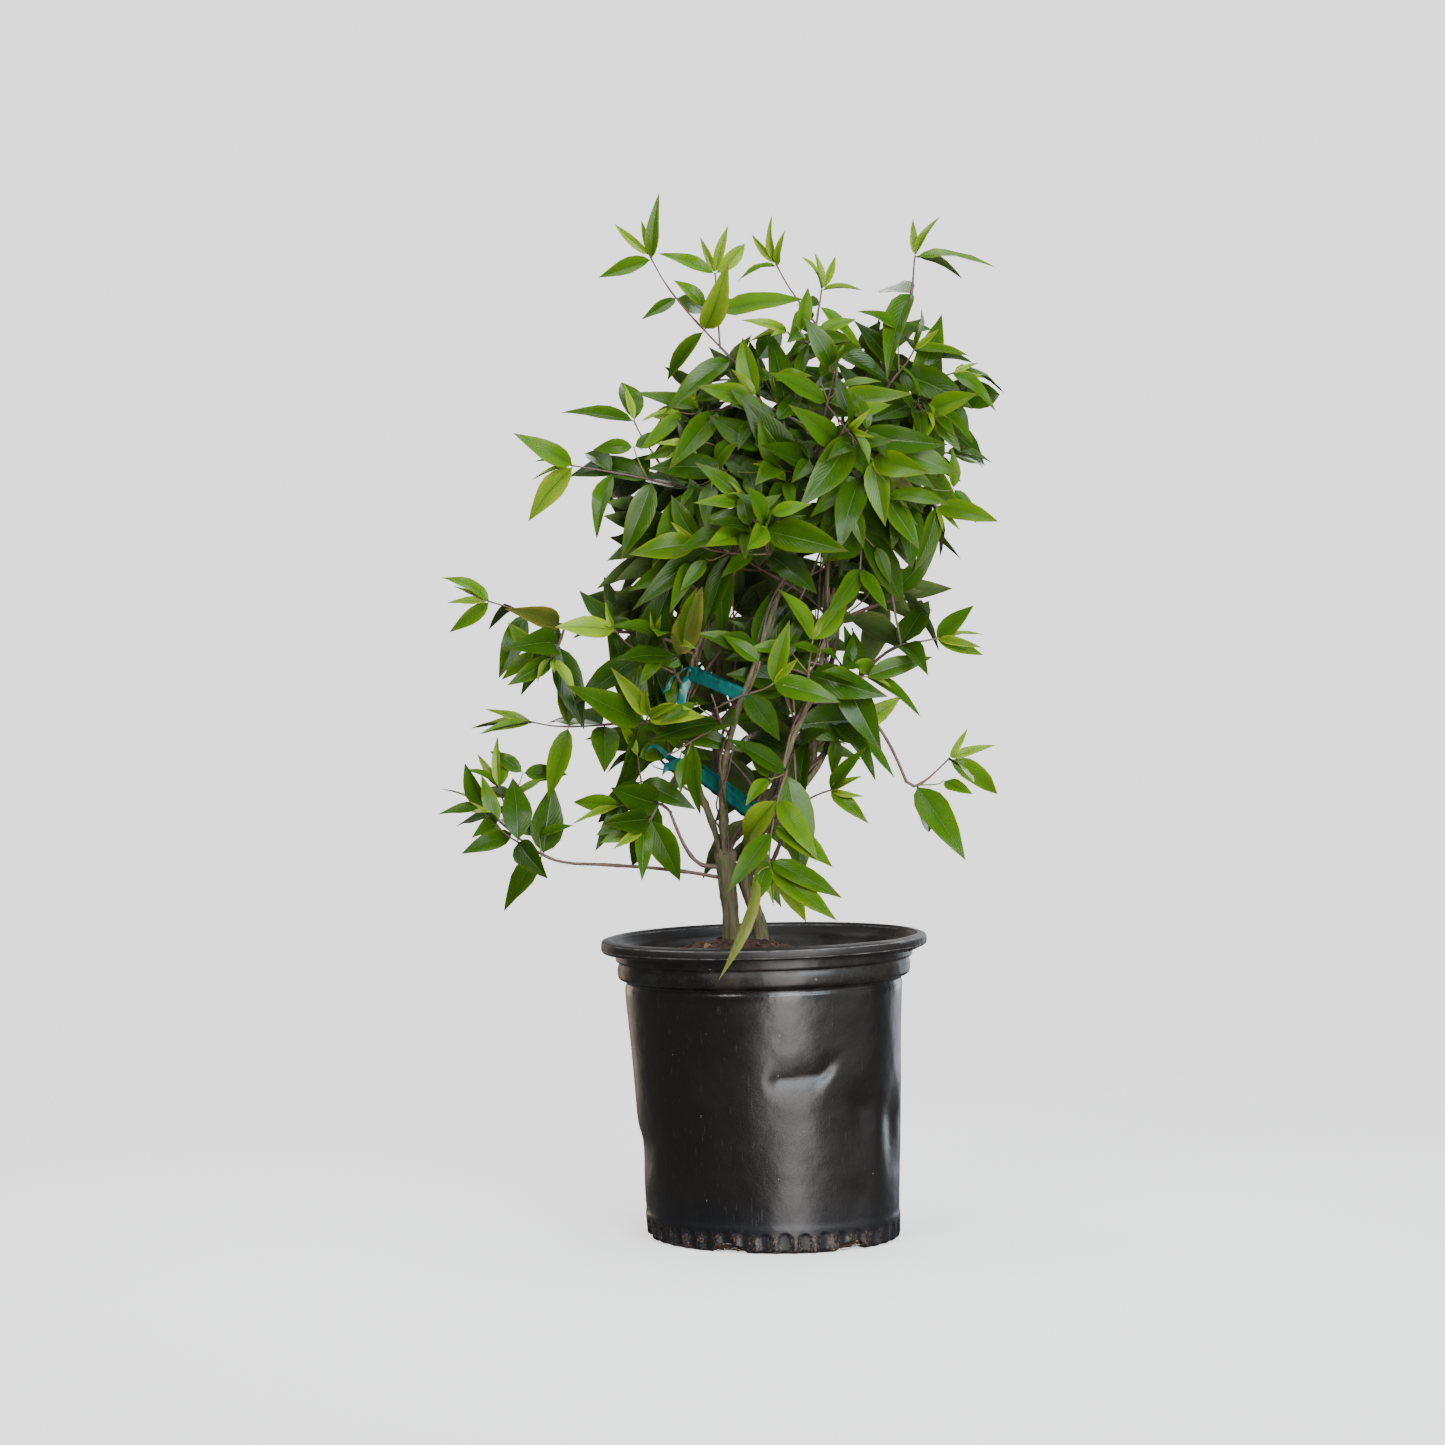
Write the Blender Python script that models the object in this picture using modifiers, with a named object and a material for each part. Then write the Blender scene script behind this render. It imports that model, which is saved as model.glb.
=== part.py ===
"""Potted Carolina jessamine: a twining evergreen vine in a soft black nursery pot.

Metres, +Z up. The origin is the centre of the pot's flat underside, and -Y is the front.
Two woody stems rise from the soil to a fork, and six leaders twine on up from there. Each mass of
foliage is one stem with side twigs and opposite leaves, grown by one seeded rule and joined.
"""

import math
import random
from collections import namedtuple

import bmesh
import bpy
from mathutils import Matrix, Vector
from mathutils.bvhtree import BVHTree

UP = Vector((0, 0, 1))
CLEAR = 0.0003  # gap that neighbouring pieces keep

# Pot
POT_HEIGHT = 0.2500
BASE_RADIUS = 0.1040
WALL_TOP_RADIUS = 0.1148
WALL_TOP_Z = 0.2090
COLLAR_RADIUS = 0.1215
COLLAR_TOP_Z = 0.2385
RIM_RADIUS = 0.1350
RIM_DROP = 0.0085
WALL = 0.0018
FLOOR = 0.0025
POT_STEPS = 32
WALL_ROWS = 6
LEAN = -0.0088  # the soft wall leans to the left by this much from LEAN_Z up
LEAN_Z = 0.200
RIM_TILT = 0.0260  # rise of the rim towards the right, per metre
DRAIN_COUNT = 6
DRAIN_START = math.radians(-112)
DRAIN_RADIUS = 0.0120
DRAIN_DROP = 0.0045
# Each dent of the soft wall: bearing and height of its middle, half spread of each, depth
Dent = namedtuple("Dent", "bearing z spread tall depth")
DENTS = (
    Dent(math.radians(-68), 0.120, 0.22, 0.022, 0.0055),
    Dent(math.radians(-20), 0.096, 0.18, 0.028, 0.0060),
    Dent(math.radians(188), 0.078, 0.30, 0.022, 0.0035),
    Dent(math.radians(95), 0.140, 0.30, 0.030, 0.0060),
)

# Soil
SOIL_EDGE_Z = 0.2260
SOIL_TOP_Z = 0.2400
SOIL_GAP = 0.0006
ROOT_GAP = 0.0030  # below its surface the root ball has shrunk from the wall

# Woody stems
LEFT_FOOT = Vector((-0.0350, -0.0020, SOIL_TOP_Z + CLEAR))
LEFT_FORK = Vector((-0.0405, -0.0010, 0.3150))
LEFT_RADIUS = 0.0066
RIGHT_FOOT = Vector((-0.0100, 0.0040, SOIL_TOP_Z + CLEAR))
RIGHT_FORK = Vector((-0.0250, 0.0105, 0.3040))
RIGHT_RADIUS = 0.0052
FLARE = 0.35
BURL = 0.40

# Leaders: they spread from the fork, wind round one line and fan out at the top
AXIS_LOW = Vector((-0.0360, 0.0040, 0.3160))
AXIS_HIGH = Vector((0.0300, 0.0000, 0.7000))
BULGE = 0.048
FAN = 0.030
WIND = math.radians(65)
WOBBLE = 0.0035
SETTLE = 0.20  # share of the axis over which a leader leaves its trunk for its place
LEADER_POINTS = 11
LEADER_RADIUS = 0.0029
LEADER_TIP_RADIUS = 0.0016
TWIN_TURNS = 2.4
TWIN_START = -146  # degrees
TWIN_RADIUS = 0.0056

# Foliage
CROWN_DEPTH = 0.86
HOLD = 0.046  # a mass's stem ends this far inside the crown's outline
SEAT_ROOM = 0.016
RING_LIFTS = (0.05, 0.25, -0.15)
LEAF_LENGTH = 0.070
LEAF_WIDTH = 0.30  # share of the length
LEAF_DEPTH = 0.024
NODE_SPACING = 0.036
TWIG_RADIUS = 0.0013
TWIG_TIP_RADIUS = 0.00055
TWIG_POINTS = 4
LEAF_SINK = 0.35  # how far past its twig's axis a leaf starts, in twig radii
TRIES = 6
TIE_SLACK = 0.0005
TAPE = 0.0006
SIDES = (1, -1)

GREEN = (0.045, 0.160, 0.020, 1)
BARK = (0.180, 0.120, 0.075, 1)
BLACK = (0.012, 0.012, 0.013, 1)
SOIL_BROWN = (0.070, 0.036, 0.020, 1)
TEAL = (0.004, 0.180, 0.150, 1)

Limb = namedtuple("Limb", "path radii")
Leader = namedtuple("Leader", "trunk seat bearing top twin")
Bough = namedtuple("Bough", "limb at tip lift radius lean")
Mass = namedtuple("Mass", "limb at tip lift twigs twig leaf droop face seed")
Tier = namedtuple("Tier", "name z middle half bearing seeds")
Tie = namedtuple("Tie", "first at second there width")

LEADERS = {
    "leader_left": Leader("trunk_left", 175, 165, 0.88, 0),
    "leader_front_left": Leader("trunk_left", 265, 235, 1.00, 0),
    "leader_back_left": Leader("trunk_left", 85, 105, 0.94, 0),
    "leader_front": Leader("trunk_right", 270, 290, 0.92, 0),
    "leader_right": Leader("trunk_right", 30, 350, 1.00, 1),
    "leader_right_twin": Leader("trunk_right", 150, 350, 0.86, -1),
}

BOUGHS = {
    "bough_far_left": Bough("trunk_left", 0.80, Vector((-0.166, -0.014, 0.310)), 0.02, 0.0016, 0.3),
    "bough_low_left": Bough("trunk_left", 0.90, Vector((-0.086, -0.014, 0.352)), -0.28, 0.0019, 0.0),
    "bough_low_right": Bough("trunk_right", 0.80, Vector((0.012, -0.010, 0.345)), -0.05, 0.0024, 0.2),
    "bough_left": Bough("leader_left", 0.54, Vector((-0.150, -0.015, 0.503)), 0.05, 0.0014, 0.5),
    "bough_right": Bough("leader_right", 0.40, Vector((0.092, -0.010, 0.484)), 0.05, 0.0020, 0.7),
    "bough_right_stub": Bough("leader_right", 0.56, Vector((0.108, 0.008, 0.531)), 0.03, 0.0018, 0.4),
    "bough_right_hanging": Bough("leader_front", 0.44, Vector((0.108, -0.026, 0.379)), 0.42, 0.0014, 0.5),
    "bough_top_right": Bough("leader_right", 0.97, Vector((0.110, 0.004, 0.768)), -0.16, 0.0013, 0.2),
}

TIES = {
    "tie_low": Tie("leader_left", 3.2 / LEADER_POINTS, "leader_front", 2.25 / LEADER_POINTS, 0.015),
    "tie_mid": Tie("leader_left", 5.5 / LEADER_POINTS, "leader_front_left", 4.5 / LEADER_POINTS, 0.012),
}

# The ways that the upper sides of leaves look
LEVEL = (0, -1, 0.3)
FRONT = (0, -1, 0.5)
RAISED = (0, -1, 0.8)
TO_LEFT = (-0.4, -1, 0.5)
TO_RIGHT = (0.4, -1, 0.5)
SKYWARD = (0, -0.3, 1.0)
BACK = (0, 1, 0.4)

# Sprays that stand out of the crown, one row each. The tip is where the stem ends.
SPRAYS = {
    "top_left": Mass("leader_left", 1, (-0.104, -0.03, 0.812), -0.1, 2, 0.06, 1.05, 0.9, LEVEL, 516),
    "top_centre": Mass("leader_front_left", 1, (0, -0.03, 0.804), -0.04, 2, 0.035, 0.78, 0.9, RAISED, 241),
    "top_right": Mass("bough_top_right", 1, (0.116, 0, 0.812), 0.1, 0, 0.035, 1.48, 1.1, SKYWARD, 534),
    "left_high": Mass("leader_front_left", 0.7, (-0.17, -0.04, 0.638), 0.06, 2, 0.06, 1.15, 0.9, LEVEL, 428),
    "left": Mass("bough_left", 1, (-0.237, -0.02, 0.527), 0, 1, 0.06, 0.9, 0.7, TO_RIGHT, 235),
    "left_low": Mass("leader_left", 0.37, (-0.202, -0.03, 0.428), -0.08, 1, 0.035, 1.15, 0.1, RAISED, 613),
    "far_left": Mass("bough_far_left", 1, (-0.242, -0.02, 0.358), -0.04, 2, 0.06, 0.81, 0.1, RAISED, 186),
    "low_left": Mass("bough_low_left", 1, (-0.128, -0.02, 0.358), 0, 2, 0.035, 0.8, 0.9, LEVEL, 620),
    "low_front": Mass("leader_front", 0.30, (-0.006, -0.086, 0.312), 0.47, 0, 0.05, 1.10, 0.36, LEVEL, 534),
    "low_right": Mass("bough_low_right", 1, (0.046, -0.04, 0.372), 0.1, 1, 0.06, 0.94, 0.5, TO_LEFT, 595),
    "right": Mass("bough_right", 1, (0.134, -0.016, 0.496), 0, 1, 0.06, 0.89, 0.1, LEVEL, 676),
    "right_low": Mass("bough_right_hanging", 1, (0.144, -0.026, 0.398), -0.12, 0, 0.05, 1.04, 1.2, TO_RIGHT, 501),
    "back": Mass("leader_back_left", 0.6, (-0.036, 0.176, 0.556), 0.04, 2, 0.06, 1.15, 0.1, BACK, 573),
    "back_low": Mass("leader_back_left", 0.2, (0.03, 0.14, 0.404), 0.08, 2, 0.05, 1.1, 0.1, BACK, 513),
}

# The body of the crown: rings of masses. Each ring has its height, the middle and half width of
# the crown's outline there, the bearing of its first mass and the seeds of them all.
TIERS = (
    Tier("a", 0.704, 0.058, 0.138, 255, (30800, 29301, 4102, 5703)),
    Tier("b", 0.655, 0.030, 0.160, 215, (4600, 31501, 19502, 503, 5504)),
    Tier("c", 0.590, 0.004, 0.165, 250, (19900, 1301, 2702, 10803, 5704)),
    Tier("d", 0.515, -0.028, 0.128, 215, (5900, 701, 10202, 11603)),
    Tier("e", 0.455, -0.032, 0.112, 255, (3300, 8601, 702, 1503)),
)


def clear_scene():
    for obj in list(bpy.data.objects):
        bpy.data.objects.remove(obj)


def material(name, colour, roughness):
    made = bpy.data.materials.new(name)
    made.use_nodes = True
    shader = made.node_tree.nodes["Principled BSDF"]
    shader.inputs["Base Color"].default_value = colour
    shader.inputs["Roughness"].default_value = roughness
    return made


def link(obj, collection, finish):
    collection.objects.link(obj)
    obj.data.materials.clear()
    obj.data.materials.append(finish)
    return obj


def evaluated_mesh(obj, name):
    """The object's mesh as its modifiers leave it, as a new datablock."""
    bpy.context.view_layer.update()
    mesh = bpy.data.meshes.new_from_object(obj.evaluated_get(bpy.context.evaluated_depsgraph_get()))
    mesh.name = name
    return mesh


def closed_mesh(obj, name):
    """The same mesh with its caps merged on and its faces turned out."""
    mesh = evaluated_mesh(obj, name)
    bm = bmesh.new()
    bm.from_mesh(mesh)
    bmesh.ops.remove_doubles(bm, verts=bm.verts, dist=1e-6)
    bmesh.ops.recalc_face_normals(bm, faces=bm.faces)
    bm.to_mesh(mesh)
    bm.free()
    return mesh


def smoothstep(value):
    value = min(1.0, max(0.0, value))
    return value * value * (3 - 2 * value)


# Pot and soil


def slumped(point):
    """A point of a true round pot, moved to where the soft, leaning and dented wall has it."""
    x, y, z = point
    bearing = math.atan2(y, x)
    radius = math.hypot(x, y)
    inward = 0.0
    for dent in DENTS:
        turn = (bearing - dent.bearing + math.pi) % (2 * math.pi) - math.pi
        off = (turn / dent.spread) ** 2 + ((z - dent.z) / dent.tall) ** 2
        inward += dent.depth * math.exp(-off)
    wall_share = smoothstep(radius / BASE_RADIUS)
    scale = 1 - inward * wall_share / max(radius, 1e-9)
    tilt = RIM_TILT * x * smoothstep(z / POT_HEIGHT) * wall_share
    return Vector((x * scale + LEAN * min(1.0, z / LEAN_Z), y * scale, z + tilt))


def wall_radius(z):
    """Outer radius of the tapering wall between the base and the collar."""
    return BASE_RADIUS + (WALL_TOP_RADIUS - BASE_RADIUS) * z / WALL_TOP_Z


def pot_outline():
    """The pot's outer line from the rim down to the middle of the base, as (radius, height)."""
    wall = [WALL_TOP_Z * (1 - i / WALL_ROWS) for i in range(WALL_ROWS)]
    return [
        (RIM_RADIUS - 0.0030, POT_HEIGHT),
        (RIM_RADIUS, POT_HEIGHT - 0.0030),
        (RIM_RADIUS - 0.0010, POT_HEIGHT - RIM_DROP),
        (COLLAR_RADIUS + 0.0015, POT_HEIGHT - RIM_DROP),
        (COLLAR_RADIUS, COLLAR_TOP_Z),
        (COLLAR_RADIUS - 0.0005, WALL_TOP_Z + 0.0060),
        *[(wall_radius(z), z) for z in wall],
        (BASE_RADIUS - 0.0005, 0.0030),
        (BASE_RADIUS - 0.0035, 0.0),
        (0.0, 0.0),
    ]


def pot_lining():
    """The pot's inner line from the middle of the floor up to the rim."""
    wall = [max(FLOOR, WALL_TOP_Z * i / WALL_ROWS) for i in range(WALL_ROWS + 1)]
    return [
        (0.0, FLOOR),
        *[(wall_radius(z) - WALL, z) for z in wall],
        (COLLAR_RADIUS - WALL, WALL_TOP_Z + 0.0075),
        (COLLAR_RADIUS - WALL, POT_HEIGHT - 0.0040),
        (COLLAR_RADIUS + 0.0005, POT_HEIGHT),
    ]


def turned(name, outline, collection, finish):
    """A closed outline turned about the upright axis, then slumped with the soft pot."""
    mesh = bpy.data.meshes.new(name)
    edges = [(i, (i + 1) % len(outline)) for i in range(len(outline))]
    on_axis = [i for i, (radius, _) in enumerate(outline) if radius == 0]
    edges = [e for e in edges if not (e[0] in on_axis and e[1] in on_axis)]
    mesh.from_pydata([(radius, 0, z) for radius, z in outline], edges, [])
    obj = bpy.data.objects.new(name, mesh)
    link(obj, collection, finish)
    screw = obj.modifiers.new("turn", "SCREW")
    screw.steps = screw.render_steps = POT_STEPS
    screw.use_merge_vertices = True
    screw.merge_threshold = 0.00002
    obj.data = evaluated_mesh(obj, name)
    obj.modifiers.clear()
    bm = bmesh.new()
    bm.from_mesh(obj.data)
    for vert in bm.verts:
        vert.co = slumped(vert.co)
    bmesh.ops.recalc_face_normals(bm, faces=bm.faces)
    bm.to_mesh(obj.data)
    bm.free()
    return obj


def make_pot(collection, cutters, finish):
    pot = turned("pot", pot_outline() + pot_lining(), collection, finish)
    for i in range(DRAIN_COUNT):
        bearing = DRAIN_START + i * 2 * math.pi / DRAIN_COUNT
        centre = Vector((math.cos(bearing), math.sin(bearing), 0)) * BASE_RADIUS
        bpy.ops.mesh.primitive_cylinder_add(
            vertices=12,
            radius=DRAIN_RADIUS,
            depth=0.030,
            location=(centre.x, centre.y, -DRAIN_DROP),
            rotation=(math.pi / 2, 0, bearing + math.pi / 2),
        )
        cutter = bpy.context.active_object
        cutter.name = f"drain_cutter_{i}"
        for owner in list(cutter.users_collection):
            owner.objects.unlink(cutter)
        cutters.objects.link(cutter)
        cutter.hide_render = True
        cutter.display_type = "WIRE"
        cut = pot.modifiers.new(f"drain_{i}", "BOOLEAN")
        cut.operation = "DIFFERENCE"
        cut.object = cutter
    return pot


def make_soil(collection, finish):
    """The root ball's mix: it fills the pot and rises a little to the stems."""
    inside = WALL + SOIL_GAP
    rows = [WALL_TOP_Z * i / WALL_ROWS for i in range(1, WALL_ROWS + 1)]
    shrunk = WALL + ROOT_GAP
    outline = [
        (0.0, SOIL_TOP_Z),
        (0.045, SOIL_TOP_Z),
        (0.085, SOIL_TOP_Z - 0.006),
        (COLLAR_RADIUS - inside, SOIL_EDGE_Z),
        (COLLAR_RADIUS - inside, WALL_TOP_Z + 0.0085),
        *[(wall_radius(z) - shrunk, z) for z in reversed(rows)],
        (wall_radius(FLOOR) - shrunk, FLOOR + CLEAR),
        (0.0, FLOOR + CLEAR),
    ]
    return turned("soil", outline, collection, finish)


# Limbs: a path of points with a radius at each


def cubic(start, pull, reach, tip, count):
    """Points on the curve from start, drawn first towards pull and last from reach, to tip."""
    points = []
    for i in range(count):
        t = i / (count - 1)
        s = 1 - t
        points.append(start * s**3 + pull * 3 * s * s * t + reach * 3 * s * t * t + tip * t**3)
    return points


def tapered(path, thick, thin):
    return Limb(path, [thick + (thin - thick) * i / (len(path) - 1) for i in range(len(path))])


def along(limb, share):
    """Point, direction and radius of the limb at this share of its length."""
    place = share * (len(limb.path) - 1)
    i = min(int(place), len(limb.path) - 2)
    part = place - i
    point = limb.path[i].lerp(limb.path[i + 1], part)
    radius = limb.radii[i] + (limb.radii[i + 1] - limb.radii[i]) * part
    return point, (limb.path[i + 1] - limb.path[i]).normalized(), radius


def tube(name, limb, sides):
    """The limb as an object: a curve with this many sides, made a mesh and closed."""
    data = bpy.data.curves.new(name, "CURVE")
    data.dimensions = "3D"
    data.use_fill_caps = True
    if sides == 3:
        data.bevel_mode = "OBJECT"
        data.bevel_object = three_sided_section()
    else:
        data.bevel_depth = 1.0
        data.bevel_resolution = sides // 2 - 2
    spline = data.splines.new("POLY")
    spline.points.add(len(limb.path) - 1)
    for point, place, radius in zip(spline.points, limb.path, limb.radii):
        point.co = (*place, 1)
        point.radius = radius
    curve = bpy.data.objects.new(name + "_line", data)
    bpy.context.scene.collection.objects.link(curve)
    obj = bpy.data.objects.new(name, closed_mesh(curve, name))
    bpy.data.objects.remove(curve)
    return obj


def three_sided_section():
    """The bevel object that gives twigs their three sides, at a radius of one."""
    found = bpy.data.objects.get("twig_section")
    if found:
        return found
    data = bpy.data.curves.new("twig_section", "CURVE")
    spline = data.splines.new("POLY")
    spline.points.add(2)
    spline.use_cyclic_u = True
    for i, point in enumerate(spline.points):
        turn = 2 * math.pi * i / 3
        point.co = (math.cos(turn), math.sin(turn), 0, 1)
    section = bpy.data.objects.new("twig_section", data)
    section.hide_render = True
    bpy.context.scene.collection.objects.link(section)
    return section


def trunk(foot, fork, radius):
    """A woody stem from its flat cut in the soil's surface, flared there and thick at the fork."""
    count = 7
    path = [foot] + cubic(foot + UP * 0.006, foot + UP * 0.024, fork - UP * 0.02, fork, count - 1)
    radii = []
    for i in range(count):
        t = i / (count - 1)
        radii.append(radius * (1 + FLARE * (1 - t) ** 5 + BURL * t**4))
    return Limb(path, radii)


def polar(degrees, radius):
    return Vector((math.cos(math.radians(degrees)), math.sin(math.radians(degrees)), 0)) * radius


def leader(row, trunks):
    """One twining leader, standing on its own share of its trunk's cut top."""
    base = trunks[row.trunk]
    foot = base.path[-1] + polar(row.seat, base.radii[-1] * 0.52) + UP * CLEAR * 3
    crest = AXIS_LOW.lerp(AXIS_HIGH, row.top)
    path = [foot, foot + UP * 0.004]
    for i in range(1, LEADER_POINTS):
        rise = i / (LEADER_POINTS - 1)
        share = rise * row.top
        bearing = row.bearing + math.degrees(WIND) * share
        spread = 0.010 + BULGE * math.sin(math.pi * share**0.7) + FAN * smoothstep((share - 0.7) / 0.3)
        spread += WOBBLE * math.sin(16 * share + row.bearing)
        place = AXIS_LOW.lerp(AXIS_HIGH, share) + polar(bearing, spread)
        if row.twin:
            place += polar(360 * TWIN_TURNS * share + TWIN_START + 90 * row.twin, TWIN_RADIUS)
        point = foot.lerp(place, smoothstep(share / SETTLE))
        point.z = foot.z + (crest.z - foot.z) * rise
        path.append(point)
    return tapered(path, LEADER_RADIUS, LEADER_TIP_RADIUS)


def arched(start, way, tip, lift, count):
    """A limb's path that leaves along way and comes to its tip from above, or below if lift < 0."""
    span = (tip - start).length
    return cubic(start, start + way * span * 0.33, start.lerp(tip, 0.67) + UP * lift * span, tip, count)


def branch(parent, share, tip, lift, lean, count, thick, thin):
    """A limb that leaves its parent's side, or goes on from its tip, with all of its foot CLEAR of it."""
    point, direction, thickness = along(parent, share)
    if share == 1:
        out, thickness = direction, 0.0
    else:
        out = tip - point
        out = (out - direction * out.dot(direction)).normalized()
    way = out if share == 1 else (out + direction * lean).normalized()
    seat = point + out * (thickness + CLEAR)
    path = arched(seat, way, tip, lift, count)
    slope = (path[1] - path[0]).normalized().dot(out)
    seat += out * thick * math.sqrt(max(0.0, 1 - slope * slope))
    return tapered(arched(seat, way, tip, lift, count), thick, thin)


# Leaves


def leaf_form(arch):
    """Corners and faces of a leaf one long and one wide: a lance thick at its keel, tip bent down."""
    corners = [Vector((0, 0, 0))]
    for place, half in ((0.29, 0.47), (0.67, 0.40)):
        level = -arch * place * place + 0.01
        corners += [Vector((half, place, level)), Vector((-half, place, level))]
    corners.append(Vector((0, 1, -arch)))
    corners.append(Vector((0, 0.45, -arch * 0.2 - LEAF_DEPTH)))
    outline = (0, 1, 3, 5, 4, 2)
    faces = [(0, 1, 2), (1, 3, 4), (1, 4, 2), (3, 5, 4)]
    faces += [(b, a, 6) for a, b in zip(outline, outline[1:] + outline[:1])]
    return corners, faces


FORMS = [leaf_form(arch) for arch in (0.03, 0.10, 0.18, 0.28)]


def leaf_frame(base, way, normal, length, width):
    """The matrix that puts a one by one leaf at base, along way, facing normal."""
    side = way.cross(normal).normalized()
    face = side.cross(way).normalized()
    turn = Matrix((side, way, face)).transposed().to_4x4()
    return Matrix.Translation(base) @ turn @ Matrix.Diagonal((width, length, length, 1))


def draw(mass, *place):
    """A fresh source of random numbers for one twig or leaf, the same on every run."""
    seed = mass.seed
    for number in place:
        seed = seed * 131 + number + 7
    return random.Random(seed)


def jitter(rng, amount):
    return Vector((rng.uniform(-1, 1), rng.uniform(-1, 1), rng.uniform(-1, 1))) * amount


def mass_stem(mass, limbs):
    """The stem that the whole mass grows from."""
    parent = limbs[mass.limb]
    tip = Vector(mass.tip)
    count = 4 + round((tip - along(parent, mass.at)[0]).length / 0.035)
    return branch(parent, mass.at, tip, mass.lift, 0.5, count, TWIG_RADIUS, TWIG_TIP_RADIUS)


def facing(mass, rng):
    """The way a leaf's upper side looks: as its mass faces, more or less."""
    return (Vector(mass.face).normalized() + jitter(rng, 0.45)).normalized()


def side_twig(mass, stem, index, attempt):
    """The path of one side twig, which leaves its stem sideways and turns up to the light."""
    rng = draw(mass, 1, index, attempt)
    share = 0.22 + 0.56 * (index + rng.uniform(0, 0.5)) / max(1, mass.twigs)
    point, direction, radius = along(stem, share)
    side = direction.cross(facing(mass, rng)).normalized() * (1 if index % 2 else -1)
    way = (side + direction * rng.uniform(0.3, 0.9) + jitter(rng, 0.45)).normalized()
    length = mass.twig * rng.uniform(0.8, 1.25)
    tip = point + way * length + UP * length * rng.uniform(-0.25, 0.35)
    path = cubic(point, point + way * length * 0.4, tip - UP * length * 0.1, tip, TWIG_POINTS)
    return tapered(path, min(radius, TWIG_RADIUS * 0.85), TWIG_TIP_RADIUS)


def leaf_at(mass, twig, twig_index, node, share, side, attempt):
    """One candidate leaf of an opposite pair: its matrix and the number of its form."""
    rng = draw(mass, 2, twig_index, node, side + 1, attempt)
    point, direction, radius = along(twig, share)
    face = facing(mass, rng)
    across = direction.cross(face)
    if across.length < 0.2:
        across = direction.cross(UP + jitter(rng, 0.2))
    across = across.normalized() * side
    across.rotate(Matrix.Rotation(math.radians(35) * (1 if node % 2 else -1), 3, direction))
    splay = rng.uniform(0.25, 0.75) + (0.9 if share > 0.95 else 0)
    way = across + direction * splay - UP * mass.droop * rng.uniform(0.5, 1.3) + jitter(rng, 0.22)
    way.normalize()
    age = 1.0 - 0.30 * max(0.0, share - 0.55) / 0.45
    length = LEAF_LENGTH * mass.leaf * age * rng.uniform(0.84, 1.16)
    width = length * LEAF_WIDTH * rng.uniform(0.85, 1.15) * (1.12 if share < 0.35 else 1.0)
    base = point - way * radius * LEAF_SINK
    return leaf_frame(base, way, face, length, width), rng.randrange(len(FORMS))


# Room: the shapes that stand already, which a new piece keeps clear of


class Room:
    def __init__(self):
        self.trees = []

    def add(self, corners, faces):
        self.trees.append(BVHTree.FromPolygons(corners, faces))

    def has_room_for(self, corners, faces):
        tree = BVHTree.FromPolygons(corners, faces)
        return not any(tree.overlap(other) for other in self.trees)


def shape_of(obj):
    return [v.co for v in obj.data.vertices], [tuple(p.vertices) for p in obj.data.polygons]


def blade(frame, form, start):
    """The leaf from this share of its length on, a little swollen, as the room test sees it."""
    corners, faces = FORMS[form]
    swollen = []
    for corner in corners:
        thick = 0.008 if corner.x else -0.008
        swollen.append(frame @ Vector((corner.x * 1.06, max(corner.y * 1.01, start), corner.z + thick)))
    return swollen, faces


def shell(limb, swell, start):
    """A square tube round the limb from this point of its path on, as the room test sees it."""
    corners, faces = [], []
    for i in range(start, len(limb.path)):
        ahead = limb.path[min(i + 1, len(limb.path) - 1)] - limb.path[max(i - 1, 0)]
        side = ahead.orthogonal().normalized()
        other = ahead.cross(side).normalized()
        radius = limb.radii[i] + swell
        corners += [limb.path[i] + d * radius for d in (side, other, -side, -other)]
    for ring in range(0, len(corners) - 4, 4):
        for k in range(4):
            a, b = ring + k, ring + (k + 1) % 4
            faces.append((a, b, b + 4, a + 4))
    return corners, faces


def stem_fits(stem, room):
    return room.has_room_for(*shell(stem, 0, 0)) and room.has_room_for(*shell(stem, 0.0008, 1))


def in_space(mass, stem, point):
    """Whether the point is in the mass's own space, a round sleeve about its stem."""
    reach = mass.twig + LEAF_LENGTH * mass.leaf * 1.15
    return min((point - place).length for place in stem.path) <= reach


def stations(limb, first):
    """Shares of the limb at which leaf pairs stand, evenly spaced from first to the tip."""
    length = sum((b - a).length for a, b in zip(limb.path, limb.path[1:]))
    count = max(2, round(length * (1 - first) / NODE_SPACING) + 1)
    return [first + (0.97 - first) * i / (count - 1) for i in range(count)]


def grow(mass, limbs, room):
    """The twigs and the leaves of a mass that stay in its space and clear of all that stands."""
    stem = mass_stem(mass, limbs)
    twigs = [stem]
    for index in range(mass.twigs):
        for attempt in range(TRIES):
            twig = side_twig(mass, stem, index, attempt)
            if room.has_room_for(*shell(twig, 0.0008, 0)) and in_space(mass, stem, twig.path[-1]):
                twigs.append(twig)
                break
    own = Room()
    for twig in twigs:
        own.add(*shell(twig, 0.0003, 0))
    leaves = []
    for twig_index, twig in enumerate(twigs):
        for node, share in enumerate(stations(twig, 0.30 if twig is stem else 0.42)):
            for side in SIDES:
                for attempt in range(TRIES):
                    frame, form = leaf_at(mass, twig, twig_index, node, share, side, attempt)
                    outer = blade(frame, form, 0.20)
                    inside = in_space(mass, stem, outer[0][-1])
                    if inside and own.has_room_for(*outer) and room.has_room_for(*blade(frame, form, 0)):
                        own.add(*outer)
                        leaves.append((frame, form))
                        break
    for twig in twigs:
        room.add(*shell(twig, 0.0005, 0))
    for frame, form in leaves:
        room.add(*blade(frame, form, 0))
    return twigs, leaves


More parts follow.
